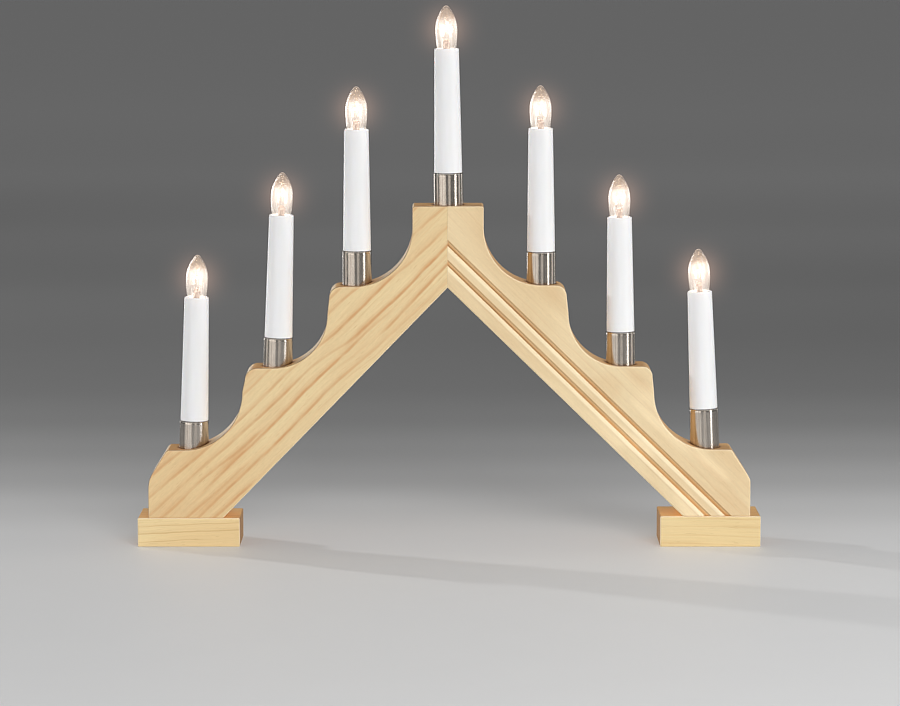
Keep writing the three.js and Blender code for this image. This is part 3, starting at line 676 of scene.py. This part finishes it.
def sweep(bm, path, radius, sides, material_index=0, cap=True):
    """Round tube along the path, added to bm. Frames are carried along, so it doesn't twist."""
    path = [Vector(p) for p in path]
    up = None
    rings = []
    for i, p in enumerate(path):
        d = (path[min(i + 1, len(path) - 1)] - path[max(i - 1, 0)]).normalized()
        if up is None:
            up = d.orthogonal().normalized()
        else:
            up = (up - d * up.dot(d)).normalized()
        side = d.cross(up)
        rings.append([bm.verts.new(p + (up * math.cos(2 * math.pi * k / sides) + side * math.sin(2 * math.pi * k / sides)) * radius)
                      for k in range(sides)])
    for a, b in zip(rings, rings[1:]):
        for k in range(sides):
            j = (k + 1) % sides
            f = bm.faces.new((a[k], a[j], b[j], b[k]))
            f.material_index = material_index
    if cap:
        for r in (list(reversed(rings[0])), rings[-1]):
            f = bm.faces.new(r)
            f.material_index = material_index


def scratch(bm, name):
    bmesh.ops.recalc_face_normals(bm, faces=bm.faces)
    me = bpy.data.meshes.new(name)
    bm.to_mesh(me)
    bm.free()
    o = bpy.data.objects.new(name, me)
    bpy.context.scene.collection.objects.link(o)
    return o


def carve(o, cutters):
    """Cuts the closed cutters out of o, in mm, and removes them."""
    for c in cutters:
        b = o.modifiers.new("cut", "BOOLEAN")
        b.operation, b.solver, b.object = "DIFFERENCE", "EXACT", c
    dg = bpy.context.evaluated_depsgraph_get()
    dg.update()
    me = bpy.data.meshes.new_from_object(o.evaluated_get(dg), depsgraph=dg)
    o.modifiers.clear()
    old = o.data
    o.data = me
    bpy.data.meshes.remove(old)
    for c in cutters:
        data = c.data
        bpy.data.objects.remove(c)
        bpy.data.meshes.remove(data)


def rod(r, length, segments, matrix):
    bm = spin([(0, 0), (r, 0), (r, length), (0, length)], segments)
    bm.transform(matrix)
    return scratch(bm, "cutter")


def block(x0, x1, y0, y1, z0, z1):
    bm = prism([(x0, z0), (x1, z0), (x1, z1), (x0, z1)], y0, y1, lambda u, v, y: (u, y, v))
    return scratch(bm, "cutter")


def to_piece(o, name, materials, angle=40.0):
    """Turns a carved scratch object into a finished piece."""
    bm = bmesh.new()
    bm.from_mesh(o.data)
    bmesh.ops.dissolve_degenerate(bm, dist=1e-4, edges=bm.edges)
    data = o.data
    bpy.data.objects.remove(o)
    bpy.data.meshes.remove(data)
    return finish_mesh(bm, name, materials, angle)


def placed(piece, body, slot, *nodes):
    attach(piece, body)
    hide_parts(*nodes)
    return piece


def candle_matrix(c):
    """From the sleeve rim, mm: origin on the axis, Z along the leaning candle."""
    return Matrix.Translation((c[1], ARM_MID_Y, c[2])) @ Matrix.Rotation(math.radians(c[4]), 4, "Y")


def metres(m):
    m = m.copy()
    m.translation = m.translation * MM
    return m


# ------------------------------------------------------------------ arms
def arm_outline(a):
    pts = [(MITRE_GAP, TOP_Z), (a["topHalf"] - 1.5, TOP_Z), (a["topHalf"] - 0.95, TOP_Z - 0.12), (a["topHalf"] - 0.45, TOP_Z - 0.45),
           (a["topHalf"] - 0.12, TOP_Z - 0.95), (a["topHalf"], TOP_Z - 1.5)]
    wall = a["topHalf"]
    for i in range(3):
        r, seat = a["r"][i], a["seatZ"][i]
        pts += arc(wall + r, seat + r, r, math.pi, 1.5 * math.pi, 40)
        if i < 2:
            c = a["cornerR"][i]
            pts += arc(a["seatX"][i] - a["cornerIn"][i] - c, seat - c, c, math.pi / 2, 0, 12)
            wall = a["seatX"][i]
    # the sloping end: its corners are eased
    raw = [Vector(p) for p in a["end"]]
    if a["side"] < 0:
        line = smooth_line(raw, 4)
    else:
        line = []
        for i, q in enumerate(raw):
            if 0 < i < len(raw) - 1:
                p, n = raw[i - 1], raw[i + 1]
                e = min(0.9, 0.4 * (q - p).length, 0.4 * (n - q).length)
                line += [q + (p - q).normalized() * e, q * 0.5 + (q + (p - q).normalized() * e) * 0.25 + (q + (n - q).normalized() * e) * 0.25,
                         q + (n - q).normalized() * e]
            else:
                line.append(q)
    pts += [tuple(p) for p in line]
    pts.append((a["end"][-1][0], a["footTop"]))
    pts.append(((LOWER_APEX_Z - a["footTop"]) / a["slope"], a["footTop"]))
    pts.append((MITRE_GAP, LOWER_APEX_Z - MITRE_GAP * a["slope"]))
    # drop repeated points
    out = []
    for p in pts:
        if not out or math.hypot(p[0] - out[-1][0], p[1] - out[-1][1]) > 0.02:
            out.append(p)
    return out


def along_arm(a, section, start, end, face_y, outward, apex_z, slope):
    angle = math.atan(slope)
    s = a["side"]
    n = Vector((s * math.sin(angle), 0, math.cos(angle)))
    d = Vector((s * math.cos(angle), 0, -math.sin(angle)))
    o = Vector((MITRE_X, face_y, apex_z))
    bm = prism(section, start, end, lambda u, v, y: o + n * u + Vector((0, outward, 0)) * v + d * y)
    return scratch(bm, "cutter")


def build_arm(label):
    a = ARMS[label]
    s = a["side"]
    bm = prism(arm_outline(a), ARM_FRONT_Y, ARM_BACK_Y, lambda u, v, y: (MITRE_X + s * u, y, v))
    keep = []
    for e in bm.edges:
        p, q = e.verts[0].co, e.verts[1].co
        if abs(p.y - q.y) > 1e-6:
            continue
        at_mitre = all(abs(abs(c.x - MITRE_X) - MITRE_GAP) < 1e-3 for c in (p, q))
        at_foot = all(abs(c.z - a["footTop"]) < 1e-3 for c in (p, q))
        if not (at_mitre or at_foot):
            keep.append(e)
    bmesh.ops.bevel(bm, geom=keep, offset=ARRIS, offset_type="OFFSET", segments=4, profile=0.5, affect="EDGES", clamp_overlap=True)
    arm = scratch(bm, "arm_" + label)
    cutters = []
    if s > 0:
        for start in (GROOVE_START, GROOVE_START + GROOVE_PITCH):
            section = [(start - 0.6, 2.0), (start - 0.6, 0.02)] + [(start + u, v if v < -0.001 else 0.0) for u, v in GROOVE[1:]] + [(start + 5.28, 2.0)]
            cutters.append(along_arm(a, section, -60, 330, ARM_FRONT_Y, -1, LOWER_APEX_Z, a["slope"]))
    half = CHANNEL_W / 2
    end_z = CHANNEL_APEX_Z - CHANNEL_END
    cutters.append(along_arm(a, [(-half, -CHANNEL_DEPTH), (half, -CHANNEL_DEPTH), (half, 3), (-half, 3)], -40,
                             CHANNEL_END * math.sqrt(2), ARM_BACK_Y, 1, CHANNEL_APEX_Z, 1.0))
    turn = Matrix.Translation((MITRE_X + s * CHANNEL_END, ARM_BACK_Y - CHANNEL_DEPTH, end_z)) @ Matrix.Rotation(-math.pi / 2, 4, "X")
    cutters.append(rod(half, CHANNEL_DEPTH + 3, 48, turn))
    if s < 0:
        cutters.append(block(MITRE_X - 220, MITRE_X - CHANNEL_END, ARM_BACK_Y - INLET_DEPTH, ARM_BACK_Y + 3,
                             end_z - INLET_W / 2, end_z + INLET_W / 2))
    for c in CANDLES:
        if (s > 0 and c[1] < -5) or (s < 0 and c[1] > 5):
            continue
        m = candle_matrix(c)
        cutters.append(rod(BORE_R, SLEEVE_LEN + 20.3, 96, m @ Matrix.Translation((0, 0, -SLEEVE_LEN - 0.3))))
        dist = abs(c[1] - MITRE_X)
        hole = c[2] - SLEEVE_LEN - (CHANNEL_APEX_Z - dist) + 8
        cutters.append(rod(3.5, hole, 32, m @ Matrix.Translation((0, 0, -SLEEVE_LEN + 4 - hole))))
    cutters.append(rod(3.9, 30.6, 32, Matrix.Translation((MITRE_X - 15.3, -11.5, 182.0)) @ Matrix.Rotation(math.pi / 2, 4, "Y")))
    for x in SCREW_X:
        cutters.append(rod(2.4, SCREW_RECESS + SCREW_LEN + 1, 24, Matrix.Translation((MITRE_X + s * x, SCREW_Y, 0))))
    carve(arm, cutters)
    piece = to_piece(arm, f"{label}_arm_board", [PINE_LEFT if s < 0 else PINE_RIGHT], 38.0)
    return placed(piece, "stand", f"pine_{label}", f"{label}_arm")


build_arm("left")
build_arm("right")


# ------------------------------------------------------------------ feet
def build_foot(label, side):
    x0, x1, h = FEET[label]
    y0, y1 = FOOT_FRONT_Y, FOOT_FRONT_Y + FOOT_DEPTH
    bm = prism([(x0, 0.0), (x1, 0.0), (x1, h), (x0, h)], y0, y1, lambda u, v, y: (u, y, v))
    bmesh.ops.bevel(bm, geom=list(bm.edges), offset=FOOT_ARRIS, offset_type="OFFSET", segments=4, profile=0.5, affect="EDGES")
    foot = scratch(bm, "foot_" + label)
    cutters = []
    for x in SCREW_X:
        at = Matrix.Translation((MITRE_X + side * x, SCREW_Y, 0))
        cutters.append(rod(2.4, 40, 32, at @ Matrix.Translation((0, 0, -5))))
        sink = spin([(0, -1), (4.5, -1), (4.5, SCREW_RECESS + 0.3), (2.2, SCREW_RECESS + 2.9), (0, SCREW_RECESS + 2.9)], 48)
        sink.transform(at)
        cutters.append(scratch(sink, "cutter"))
    carve(foot, cutters)
    piece = to_piece(foot, f"{label}_foot_block", [PINE_FOOT_LEFT if side < 0 else PINE_FOOT_RIGHT], 38.0)
    return placed(piece, "stand", "pine_foot", f"{label}_foot")


build_foot("left", -1)
build_foot("right", 1)


# ------------------------------------------------------------------ screws under the feet: countersunk, cross recess
def screw_profile():
    pts = [(0, 0), (3.7, 0), (3.95, 0.12), (4.0, 0.4), (2.0, 2.6), (2.0, 14.0)]
    z = 14.6
    while z < SCREW_LEN - 3.2:
        pts += [(1.45, z), (1.45, z + 0.35), (2.0, z + 0.8), (1.45, z + 1.25)]
        z += 1.6
    return pts + [(1.2, SCREW_LEN - 2.6), (0.5, SCREW_LEN - 0.8), (0, SCREW_LEN)]


for label, side in (("left", -1), ("right", 1)):
    for i, x in enumerate(SCREW_X):
        screw = scratch(spin(screw_profile(), 32), "screw")
        cross = []
        for turned in (0.35, 0.35 + math.pi / 2):
            bm = prism([(-2.1, -0.5), (2.1, -0.5), (0.9, 1.7), (-0.9, 1.7)], -0.42, 0.42, lambda u, v, y: (u, y, v))
            bm.transform(Matrix.Rotation(turned + i * 0.6, 4, "Z"))
            cross.append(scratch(bm, "cutter"))
        carve(screw, cross)
        piece = to_piece(screw, f"wood_screw_{label}_{i + 1}", [ZINC], 35.0)
        piece.matrix_world = Matrix.Translation(Vector((MITRE_X + side * x, SCREW_Y, SCREW_RECESS)) * MM)
        placed(piece, "stand", "zinc_steel", f"foot_screw_{label}_{i + 1}")


# the dowel keeps its own shape and gets its wood
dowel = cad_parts["mitre_dowel"]
dowel.data.materials.clear()
dowel.data.materials.append(BEECH)


# ------------------------------------------------------------------ candles
def rounded(points, radius, n=5):
    """Rounds the inner corners of an open line."""
    pts = [Vector(p) for p in points]
    out = [pts[0]]
    for p, q, r in zip(pts, pts[1:], pts[2:]):
        e = min(radius, 0.45 * (q - p).length, 0.45 * (r - q).length)
        a, b = q + (p - q).normalized() * e, q + (r - q).normalized() * e
        for k in range(n + 1):
            s = k / n
            out.append(a * (1 - s) ** 2 + q * 2 * s * (1 - s) + b * s * s)
    out.append(pts[-1])
    return [tuple(p) for p in out]


def sleeve_profile():
    ro, ri = SLEEVE_R, SLEEVE_R - SLEEVE_WALL
    out = [(ri, -SLEEVE_LEN), (ro - 0.05, -SLEEVE_LEN), (ro, -SLEEVE_LEN + 0.1)]
    out += [(ro, z) for z in (-24.0, -16.0, -8.0, -2.0)]
    out += [(ro, -1.25), (ro - 0.09, -1.12), (ro - 0.13, -0.95), (ro - 0.09, -0.78), (ro, -0.65), (ro, -0.22), (ro - 0.03, -0.1), (ro - 0.1, -0.02), (ro - 0.16, 0.0), (ri + 0.06, -0.02), (ri, -0.1)]
    out += [(ri, z) for z in (-2.0, -16.0)]
    return out


def tube_profile(visible):
    low = visible - TUBE_LEN
    ro = [(TUBE_RIM_R - TUBE_WALL, low), (TUBE_RIM_R - 0.15, low), (TUBE_RIM_R, low + 0.15), (TUBE_RIM_R, -0.5)]
    n = 14
    ro += [(TUBE_RIM_R + (TUBE_TOP_R - TUBE_RIM_R) * k / n, (visible - 0.95) * k / n) for k in range(n + 1)]
    top = TUBE_TOP_R
    ro += [(top - 0.03, visible - 0.62), (top - 0.13, visible - 0.3), (top - 0.3, visible - 0.08), (top - 0.48, visible),
           (top - TUBE_WALL + 0.18, visible - 0.02), (top - TUBE_WALL + 0.03, visible - 0.14), (top - TUBE_WALL, visible - 0.5),
           (top - TUBE_WALL, visible - 6.0)]
    ro += [(TUBE_RIM_R - TUBE_WALL, 0.0)]
    return ro


def socket_profile():
    r, bore = 6.45, 5.25
    pts = [(0, -20.6), (r - 1.2, -20.6), (r, -19.0), (r, -5.0), (bore, -5.0)]
    out = rounded(pts, 0.35, 4)
    # threaded liner
    z = -5.6
    while z > -17.0:
        out += [(bore, z), (bore + 0.28, z - 0.6), (bore, z - 1.15)]
        z -= 1.4
    return out + [(bore, -18.0), (0, -18.0)]


def cap_profile():
    out = [(0, -16.6), (2.2, -16.6), (2.6, -16.55), (3.5, -16.1), (4.2, -15.5), (4.38, -15.1)]
    z = -14.9
    while z < -7.9:  # rolled thread
        for k in range(9):
            s = k / 9
            out.append((4.525 + 0.175 * math.sin(2 * math.pi * (s - 0.25)), z + 1.1 * s))
        z += 1.1
    out += [(4.4, -7.1), (4.5, -6.4), (4.5, -5.72), (4.42, -5.6), (4.24, -5.6), (4.18, -5.8)]
    return out + [(4.05, -9.0), (4.0, -14.6), (3.4, -15.15), (0, -15.25)]


GLASS_OUT = [(3.85, -7.5), (3.85, -5.6), (4.7, -3.0), (6.1, 0.4), (6.6, 4.0), (6.92, 7.6), (7.03, 11.2), (6.84, 14.8), (6.15, 18.0),
             (5.05, 20.9), (3.8, 23.3), (2.6, 25.2), (1.55, 26.4), (0.75, 26.95)]
GLASS_IN = [(0.0, 26.1), (0.9, 25.6), (2.6, 23.6), (4.05, 21.1), (5.4, 18.0), (6.15, 14.6), (6.42, 11.3), (6.3, 8.0), (6.0, 4.4),
            (5.45, 0.7), (4.1, -2.9), (3.25, -5.2), (3.25, -7.5)]


def glass_mesh():
    """One closed shell. The outside has material 0, the inside material 1."""
    outer = [tuple(p) for p in smooth_line(GLASS_OUT, 5)] + [(0.0, 27.1)]
    inner = [tuple(p) for p in smooth_line(GLASS_IN, 4)]
    inner = [(max(r, 0.0), h) for r, h in inner]
    seg = 56
    bm = bmesh.new()
    rings = []
    for r, h in outer + inner:
        if r < 1e-6:
            rings.append([bm.verts.new((0, 0, h))])
        else:
            rings.append([bm.verts.new((r * math.cos(2 * math.pi * k / seg), r * math.sin(2 * math.pi * k / seg), h)) for k in range(seg)])
    cut = len(outer)
    for i in range(len(rings)):
        j = (i + 1) % len(rings)
        if i == cut - 1:
            continue
        a, b = rings[i], rings[j]
        for k in range(seg):
            q = (k + 1) % seg
            if len(a) == 1:
                f = bm.faces.new((a[0], b[k], b[q]))
            elif len(b) == 1:
                f = bm.faces.new((a[k], a[q], b[0]))
            else:
                f = bm.faces.new((a[k], a[q], b[q], b[k]))
            f.material_index = 1 if i >= cut else 0
    return bm


def filament_mesh():
    """Glass stem with its two lead wires, and the coiled wire on them. Materials: stem, lead, coil."""
    stem = [(0, -7.4), (2.5, -7.4), (2.7, -7.1), (2.35, -5.2), (2.15, -3.8), (2.0, -1.0), (1.95, 1.6), (2.2, 3.6), (1.9, 5.0), (1.0, 5.9), (0, 6.1)]
    line = [stem[0]] + [tuple(p) for p in smooth_line(stem[1:-1], 3)] + [stem[-1]]
    bm = spin([(max(r, 0.0), h) for r, h in line], 24)
    path = [(-1.0, 0, 4.6), (-2.1, 0, 8.0), (-2.3, 0, 11.4), (-1.1, 0, 13.2), (0, 0, 12.4), (1.1, 0, 13.2), (2.3, 0, 11.4), (2.1, 0, 8.0), (1.0, 0, 4.6)]
    for s in (-1, 1):
        sweep(bm, smooth_line([(s * 0.9, 0, -6.8), (s * 0.95, 0, 0.0), (s * 1.0, 0, 4.6), (s * 1.75, 0, 6.6), (s * 2.1, 0, 8.2)], 4), 0.14, 6, 1)
    # coil: a fine helix round the path between the leads
    core = smooth_line(path[1:-1], 26)
    helix = []
    up = Vector((0, 1, 0))
    for i, p in enumerate(core):
        d = (core[min(i + 1, len(core) - 1)] - core[max(i - 1, 0)]).normalized()
        side = d.cross(up).normalized()
        a = i * 1.15
        helix.append(p + (up * math.cos(a) + side * math.sin(a)) * 0.27)
    sweep(bm, helix, 0.075, 5, 2)
    # anchor wire that holds the middle
    sweep(bm, smooth_line([(0, 0, 5.6), (0.05, 0.1, 9.0), (0.0, 0.0, 12.2), (0.25, 0.0, 12.6)], 4), 0.09, 5, 1)
    return bm


for c in CANDLES:
    n, visible = c[0], c[3]
    at = candle_matrix(c)
    top = at @ Matrix.Translation((0, 0, visible))
    sleeve = finish_mesh(spin(sleeve_profile(), 128, closed=True), f"metal_sleeve_{n}", [NICKEL], 50.0, matrix=metres(at))
    placed(sleeve, "stand", "brushed_nickel", f"sleeve_{n}")
    tube = finish_mesh(spin(tube_profile(visible), 96, closed=True), f"white_tube_{n}", [PLASTIC], 50.0, matrix=metres(at))
    placed(tube, "stand", "white_plastic", f"candle_tube_{n}")
    socket = finish_mesh(spin(socket_profile(), 48), f"lamp_holder_{n}", [SOCKET], 40.0, matrix=metres(top))
    placed(socket, "stand", "socket_plastic", f"lamp_socket_{n}")
    contact = [(0, -17.7), (0.8, -17.68), (1.5, -17.58), (2.0, -17.36), (2.2, -17.1), (2.2, -16.9), (0, -16.9)]
    tip = finish_mesh(spin(contact, 32), f"contact_tip_{n}", [SOLDER], 40.0, matrix=metres(top))
    placed(tip, f"bulb_{n}_carrier", "solder", f"bulb_contact_{n}")
    cap = finish_mesh(spin(cap_profile(), 56), f"screw_cap_{n}", [BRASS], 60.0, matrix=metres(top))
    placed(cap, f"bulb_{n}", "cap_metal", f"bulb_cap_{n}")
    envelope = finish_mesh(glass_mesh(), f"flame_glass_{n}", [GLASS_SHELL, GLASS_LIT], 60.0, matrix=metres(top))
    placed(envelope, f"bulb_{n}", "clear_glass", f"bulb_glass_{n}")
    inner = finish_mesh(filament_mesh(), f"stem_and_coil_{n}", [STEM, STEEL, WIRE], 50.0, weighted=False, matrix=metres(top))
    placed(inner, f"bulb_{n}", "filament", f"filament_{n}")


# ------------------------------------------------------------------ wiring in the back: a loosely twisted pair with a branch per lamp
def twisted(bm, path, turns_per_mm=0.045, start=0.0):
    """Two insulated leads wound round each other along the path."""
    pts = [Vector(p) for p in path]
    up, dist = None, 0.0
    lines = ([], [])
    for i, p in enumerate(pts):
        if i:
            dist += (p - pts[i - 1]).length
        d = (pts[min(i + 1, len(pts) - 1)] - pts[max(i - 1, 0)]).normalized()
        up = d.orthogonal().normalized() if up is None else (up - d * up.dot(d)).normalized()
        side = d.cross(up)
        for k, line in enumerate(lines):
            a = start + dist * turns_per_mm * 2 * math.pi + k * math.pi
            line.append(p + (up * math.cos(a) + side * math.sin(a)) * 0.58)
    for line in lines:
        sweep(bm, line, 0.6, 10)


def loom(side, label):
    line = lambda x: CHANNEL_APEX_Z - x
    world = lambda x, y, z: Vector((MITRE_X + side * x, y, z))
    bm = bmesh.new()
    n = 150
    x0, x1 = 0.75, CHANNEL_END - 1.5
    twisted(bm, [world(x0 + (x1 - x0) * k / n, -1.5, line(x0 + (x1 - x0) * k / n)) for k in range(n + 1)])
    for c in CANDLES:
        centre = c[0] == 4
        if (side > 0 and c[1] < -5) or (side < 0 and c[1] > -5):
            continue
        m = candle_matrix(c)
        dist = 2.0 if centre else abs(c[1] - MITRE_X)
        off = 1.6 if centre else 0.0
        foot = world(dist, -1.5, line(dist))
        at = lambda w, y, o: m @ Vector((o, y - ARM_MID_Y, w))
        end = c[3] - 20.6 - 0.6
        w0 = foot.z - c[2]
        route = [foot, at(w0 + 5.0, -3.6, off), at(w0 + 13.0, ARM_MID_Y, off), at(-10.0, ARM_MID_Y, off * 0.5),
                 at(20.0, ARM_MID_Y, 0), at(end, ARM_MID_Y, 0)]
        twisted(bm, smooth_line(route, 14), 0.03, 0.6)
    piece = finish_mesh(bm, f"leads_{label}", [CABLE], 50.0, weighted=False)
    placed(piece, "stand", "cable", f"wiring_{label}")
    # staples over the leads, driven into the floor of the channel
    bm = bmesh.new()
    for k, x in enumerate((22.0, 68.0, 96.0, 124.0, 150.0)):
        p = world(x, 0, line(x))
        across = Vector((side * math.sqrt(0.5), 0, math.sqrt(0.5)))
        r = 2.0
        pts = [p + across * -r + Vector((0, -7.0, 0)), p + across * -r + Vector((0, -1.0, 0))]
        pts += [p + across * (r * math.cos(t)) + Vector((0, -0.9 + 1.0 * math.sin(t), 0)) for t in
                [math.pi - math.pi * j / 10 for j in range(11)]]
        pts += [p + across * r + Vector((0, -1.0, 0)), p + across * r + Vector((0, -7.0, 0))]
        sweep(bm, pts, 0.42, 8)
    staples = finish_mesh(bm, f"wire_staples_{label}", [STEEL], 50.0, weighted=False)
    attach(staples, "stand")


loom(-1, "left")
loom(1, "right")


# ------------------------------------------------------------------ stage: pale floor, darker with distance by painted light falloff, and soft studio light
def stage_material():
    m, t, p = material("studio_floor")
    pos = coords(t)
    sep = t.nodes.new("ShaderNodeSeparateXYZ")
    t.links.new(pos, sep.inputs[0])
    x, y = Value(t, sep.outputs[0]), Value(t, sep.outputs[1])
    grain = noise(t, scaled(t, pos, 1000.0), 0.02, 3.0, 0.5)
    # painted light falloff in the floor's colour: pale where the object stands, grey behind it, dark far in front
    ramp = t.nodes.new("ShaderNodeValToRGB")
    ramp.color_ramp.interpolation = "EASE"
    lowest, highest = -1.2, 5.0
    stops = FLOOR
    while len(ramp.color_ramp.elements) < len(stops):
        ramp.color_ramp.elements.new(0.5)
    for e, (where, v) in zip(ramp.color_ramp.elements, stops):
        e.position = (where - lowest) / (highest - lowest)
        e.color = (v, v, v, 1.0)
    plug(t, (y - lowest) / (highest - lowest), ramp.inputs[0])
    bw = t.nodes.new("ShaderNodeRGBToBW")
    t.links.new(ramp.outputs[0], bw.inputs[0])
    # painted light falloff: darker towards the sides in front, and a little lighter to the right near the object
    side = x.abs().between(0.5, 0.8, 1.0, 0.3) + y.between(0.2, 0.8)
    near = y.between(0.3, 1.2, 1.0, 0.0)
    tilt = (x * 0.1).op("MINIMUM", 0.05).op("MAXIMUM", -0.05) * near + 1.0
    # painted shade that evens out the pool of the rear lamp
    rear_pool_shade = x.between(-0.5, -0.1, 1.0, 0.0) * y.between(0.5, 1.0) * y.between(1.7, 2.6, 1.0, 0.0)   # where the rear lamp falls
    value = Value(t, bw.outputs[0]) * side.op("MINIMUM", 1.0) * tilt * (rear_pool_shade * -0.1 + 1.0)
    value = value * (grain * 0.02 + 0.99)
    t.links.new(grey(t, value), p.inputs["Base Color"])
    p.inputs["Roughness"].default_value = 0.55
    shine = (y.between(-0.6, -0.3) * x.abs().between(0.6, 0.8, 1.0, 0.0) + y.between(1.7, 2.4)).op("MINIMUM", 1.0)
    plug(t, shine * 0.2, p.inputs["Specular IOR Level"])
    return m


FLOOR = [(-1.2, 0.12), (-0.8, 0.2), (-0.48, 0.72), (-0.1, 0.72), (0.02, 0.69), (0.13, 0.60), (0.25, 0.47), (0.38, 0.38),
         (0.54, 0.295), (0.72, 0.26), (1.0, 0.265), (1.5, 0.325), (2.2, 0.45), (3.2, 0.60), (5.0, 0.66)]

bm = bmesh.new()
bmesh.ops.create_grid(bm, x_segments=8, y_segments=8, size=40.0)
me = bpy.data.meshes.new("studio_floor")
bm.to_mesh(me)
bm.free()
floor = bpy.data.objects.new("studio_floor", me)
bpy.context.scene.collection.objects.link(floor)
me.materials.append(stage_material())


def area(name, location, target, width, height, energy, colour=(1, 1, 1)):
    data = bpy.data.lights.new(name, "AREA")
    data.shape, data.size, data.size_y = "RECTANGLE", width, height
    data.energy, data.color = energy, colour
    o = bpy.data.objects.new(name, data)
    bpy.context.scene.collection.objects.link(o)
    o.location = location
    o.rotation_euler = (Vector(target) - Vector(location)).to_track_quat("-Z", "Y").to_euler()
    return o


def reflection(name, azimuth, width, radiance, colour=(1, 1, 1), distance=1.6, height=0.9, bottom=0.0):
    """Tall card seen only in shiny things: azimuth and width in degrees round the object, 0 towards the camera."""
    w = 2 * distance * math.tan(math.radians(width / 2))
    x, y = distance * math.sin(math.radians(azimuth)), -distance * math.cos(math.radians(azimuth))
    z = bottom + height / 2
    o = area(name, (x, y, z), (0, 0, z), w, height, radiance * math.pi * w * height, colour)
    o.visible_diffuse = False
    o.data.cycles.cast_shadow = False
    return o


for name, at, aim, width, height, energy, shadow in (
        ("front_box", (0.70, -2.1, 1.15), 0.12, 1.3, 1.0, 24.2, True),
        ("left_box", (-1.5, -0.95, 0.80), 0.15, 1.1, 1.4, 11.2, False),
        ("right_box", (1.38, -0.72, 0.85), 0.15, 0.8, 1.2, 13.8, False),
        ("back_left", (-1.95, 1.06, 0.62), 0.06, 0.06, 0.06, 12.2, True)):  # the low lamp that draws the long shadows
    box = area(name, at, (0, 0, aim), width, height, energy)
    box.visible_glossy = False
    box.data.use_shadow = shadow
    if name == "back_left":
        box.data.spread = math.radians(150.0)  # its light ends softly on the floor
reflection("card_left", -48.0, 54.0, 1.6, (1.0, 0.95, 0.90))
reflection("card_front", 8.0, 17.0, 1.0, (1.0, 0.95, 0.90))
reflection("strip_right", 58.0, 8.5, 7.2)
rims = reflection("rim_left", -144.0, 9.0, 3.6), reflection("rim_right", 130.0, 6.0, 2.2)
off_floor = bpy.data.collections.new("rim_receivers")  # the rim cards don't show in the floor
off_floor.objects.link(floor)
off_floor.collection_objects[0].light_linking.link_state = "EXCLUDE"
for card in rims:
    card.light_linking.receiver_collection = off_floor

world = bpy.data.worlds.new("studio")
bpy.context.scene.world = world
world.use_nodes = True
world.node_tree.nodes["Background"].inputs[0].default_value = (0.18, 0.18, 0.18, 1.0)
world.node_tree.nodes["Background"].inputs[1].default_value = 1.0
bpy.context.scene.view_settings.view_transform = "Standard"

# the lens blooms round the lit wires
scene = bpy.context.scene
scene.use_nodes = True
comp = scene.node_tree
comp.nodes.clear()
layers = comp.nodes.new("CompositorNodeRLayers")
bloom = comp.nodes.new("CompositorNodeGlare")
bloom.glare_type, bloom.quality = "BLOOM", "HIGH"
bloom.inputs["Threshold"].default_value = 1.5
bloom.inputs["Smoothness"].default_value = 0.3
bloom.inputs["Clamp"].default_value = True
bloom.inputs["Maximum"].default_value = 40.0
bloom.inputs["Strength"].default_value = 0.6
bloom.inputs["Tint"].default_value = (1.0, 0.93, 0.86, 1.0)
bloom.inputs["Size"].default_value = 0.25
# and the wires wear a wide warm halo: what is brighter than 4, blurred and tinted
HALO = 8.0
bright, over, capped, tinted, halo = (comp.nodes.new("CompositorNodeMixRGB") for _ in range(5))
for node, kind, value in ((bright, "SUBTRACT", (4.0, 4.0, 4.0)), (over, "LIGHTEN", (0.0, 0.0, 0.0)), (capped, "DARKEN", (30.0, 30.0, 30.0)),
                          (tinted, "MULTIPLY", (HALO, HALO * 0.59, HALO * 0.43))):
    node.blend_type = kind
    node.inputs[0].default_value = 1.0
    node.inputs[2].default_value = (*value, 1.0)
halo.blend_type = "ADD"
halo.inputs[0].default_value = 1.0
red = comp.nodes.new("CompositorNodeSeparateColor")
wide = comp.nodes.new("CompositorNodeBlur")
wide.filter_type = "GAUSS"
wide.inputs["Size"].default_value = (39.0, 39.0)
out_node = comp.nodes.new("CompositorNodeComposite")
comp.links.new(layers.outputs["Image"], bloom.inputs["Image"])
comp.links.new(layers.outputs["Image"], bright.inputs[1])
comp.links.new(bright.outputs[0], over.inputs[1])
comp.links.new(over.outputs[0], capped.inputs[1])
comp.links.new(capped.outputs[0], red.inputs[0])
comp.links.new(red.outputs[0], wide.inputs["Image"])
comp.links.new(wide.outputs["Image"], tinted.inputs[1])
comp.links.new(bloom.outputs["Image"], halo.inputs[1])
comp.links.new(tinted.outputs[0], halo.inputs[2])
limit = comp.nodes.new("CompositorNodeMixRGB")
limit.blend_type, limit.use_clamp = "MIX", True
limit.inputs[0].default_value = 1.0
to_shown, back, crisp = (comp.nodes.new(k) for k in ("CompositorNodeGamma", "CompositorNodeGamma", "CompositorNodeFilter"))
to_shown.inputs[1].default_value, back.inputs[1].default_value = 1 / 2.2, 2.2
crisp.filter_type = "SHARPEN"
crisp.inputs[0].default_value = 0.06
comp.links.new(halo.outputs[0], limit.inputs[2])
comp.links.new(limit.outputs[0], to_shown.inputs[0])
comp.links.new(to_shown.outputs[0], crisp.inputs[1])
comp.links.new(crisp.outputs[0], back.inputs[0])
comp.links.new(back.outputs[0], out_node.inputs["Image"])
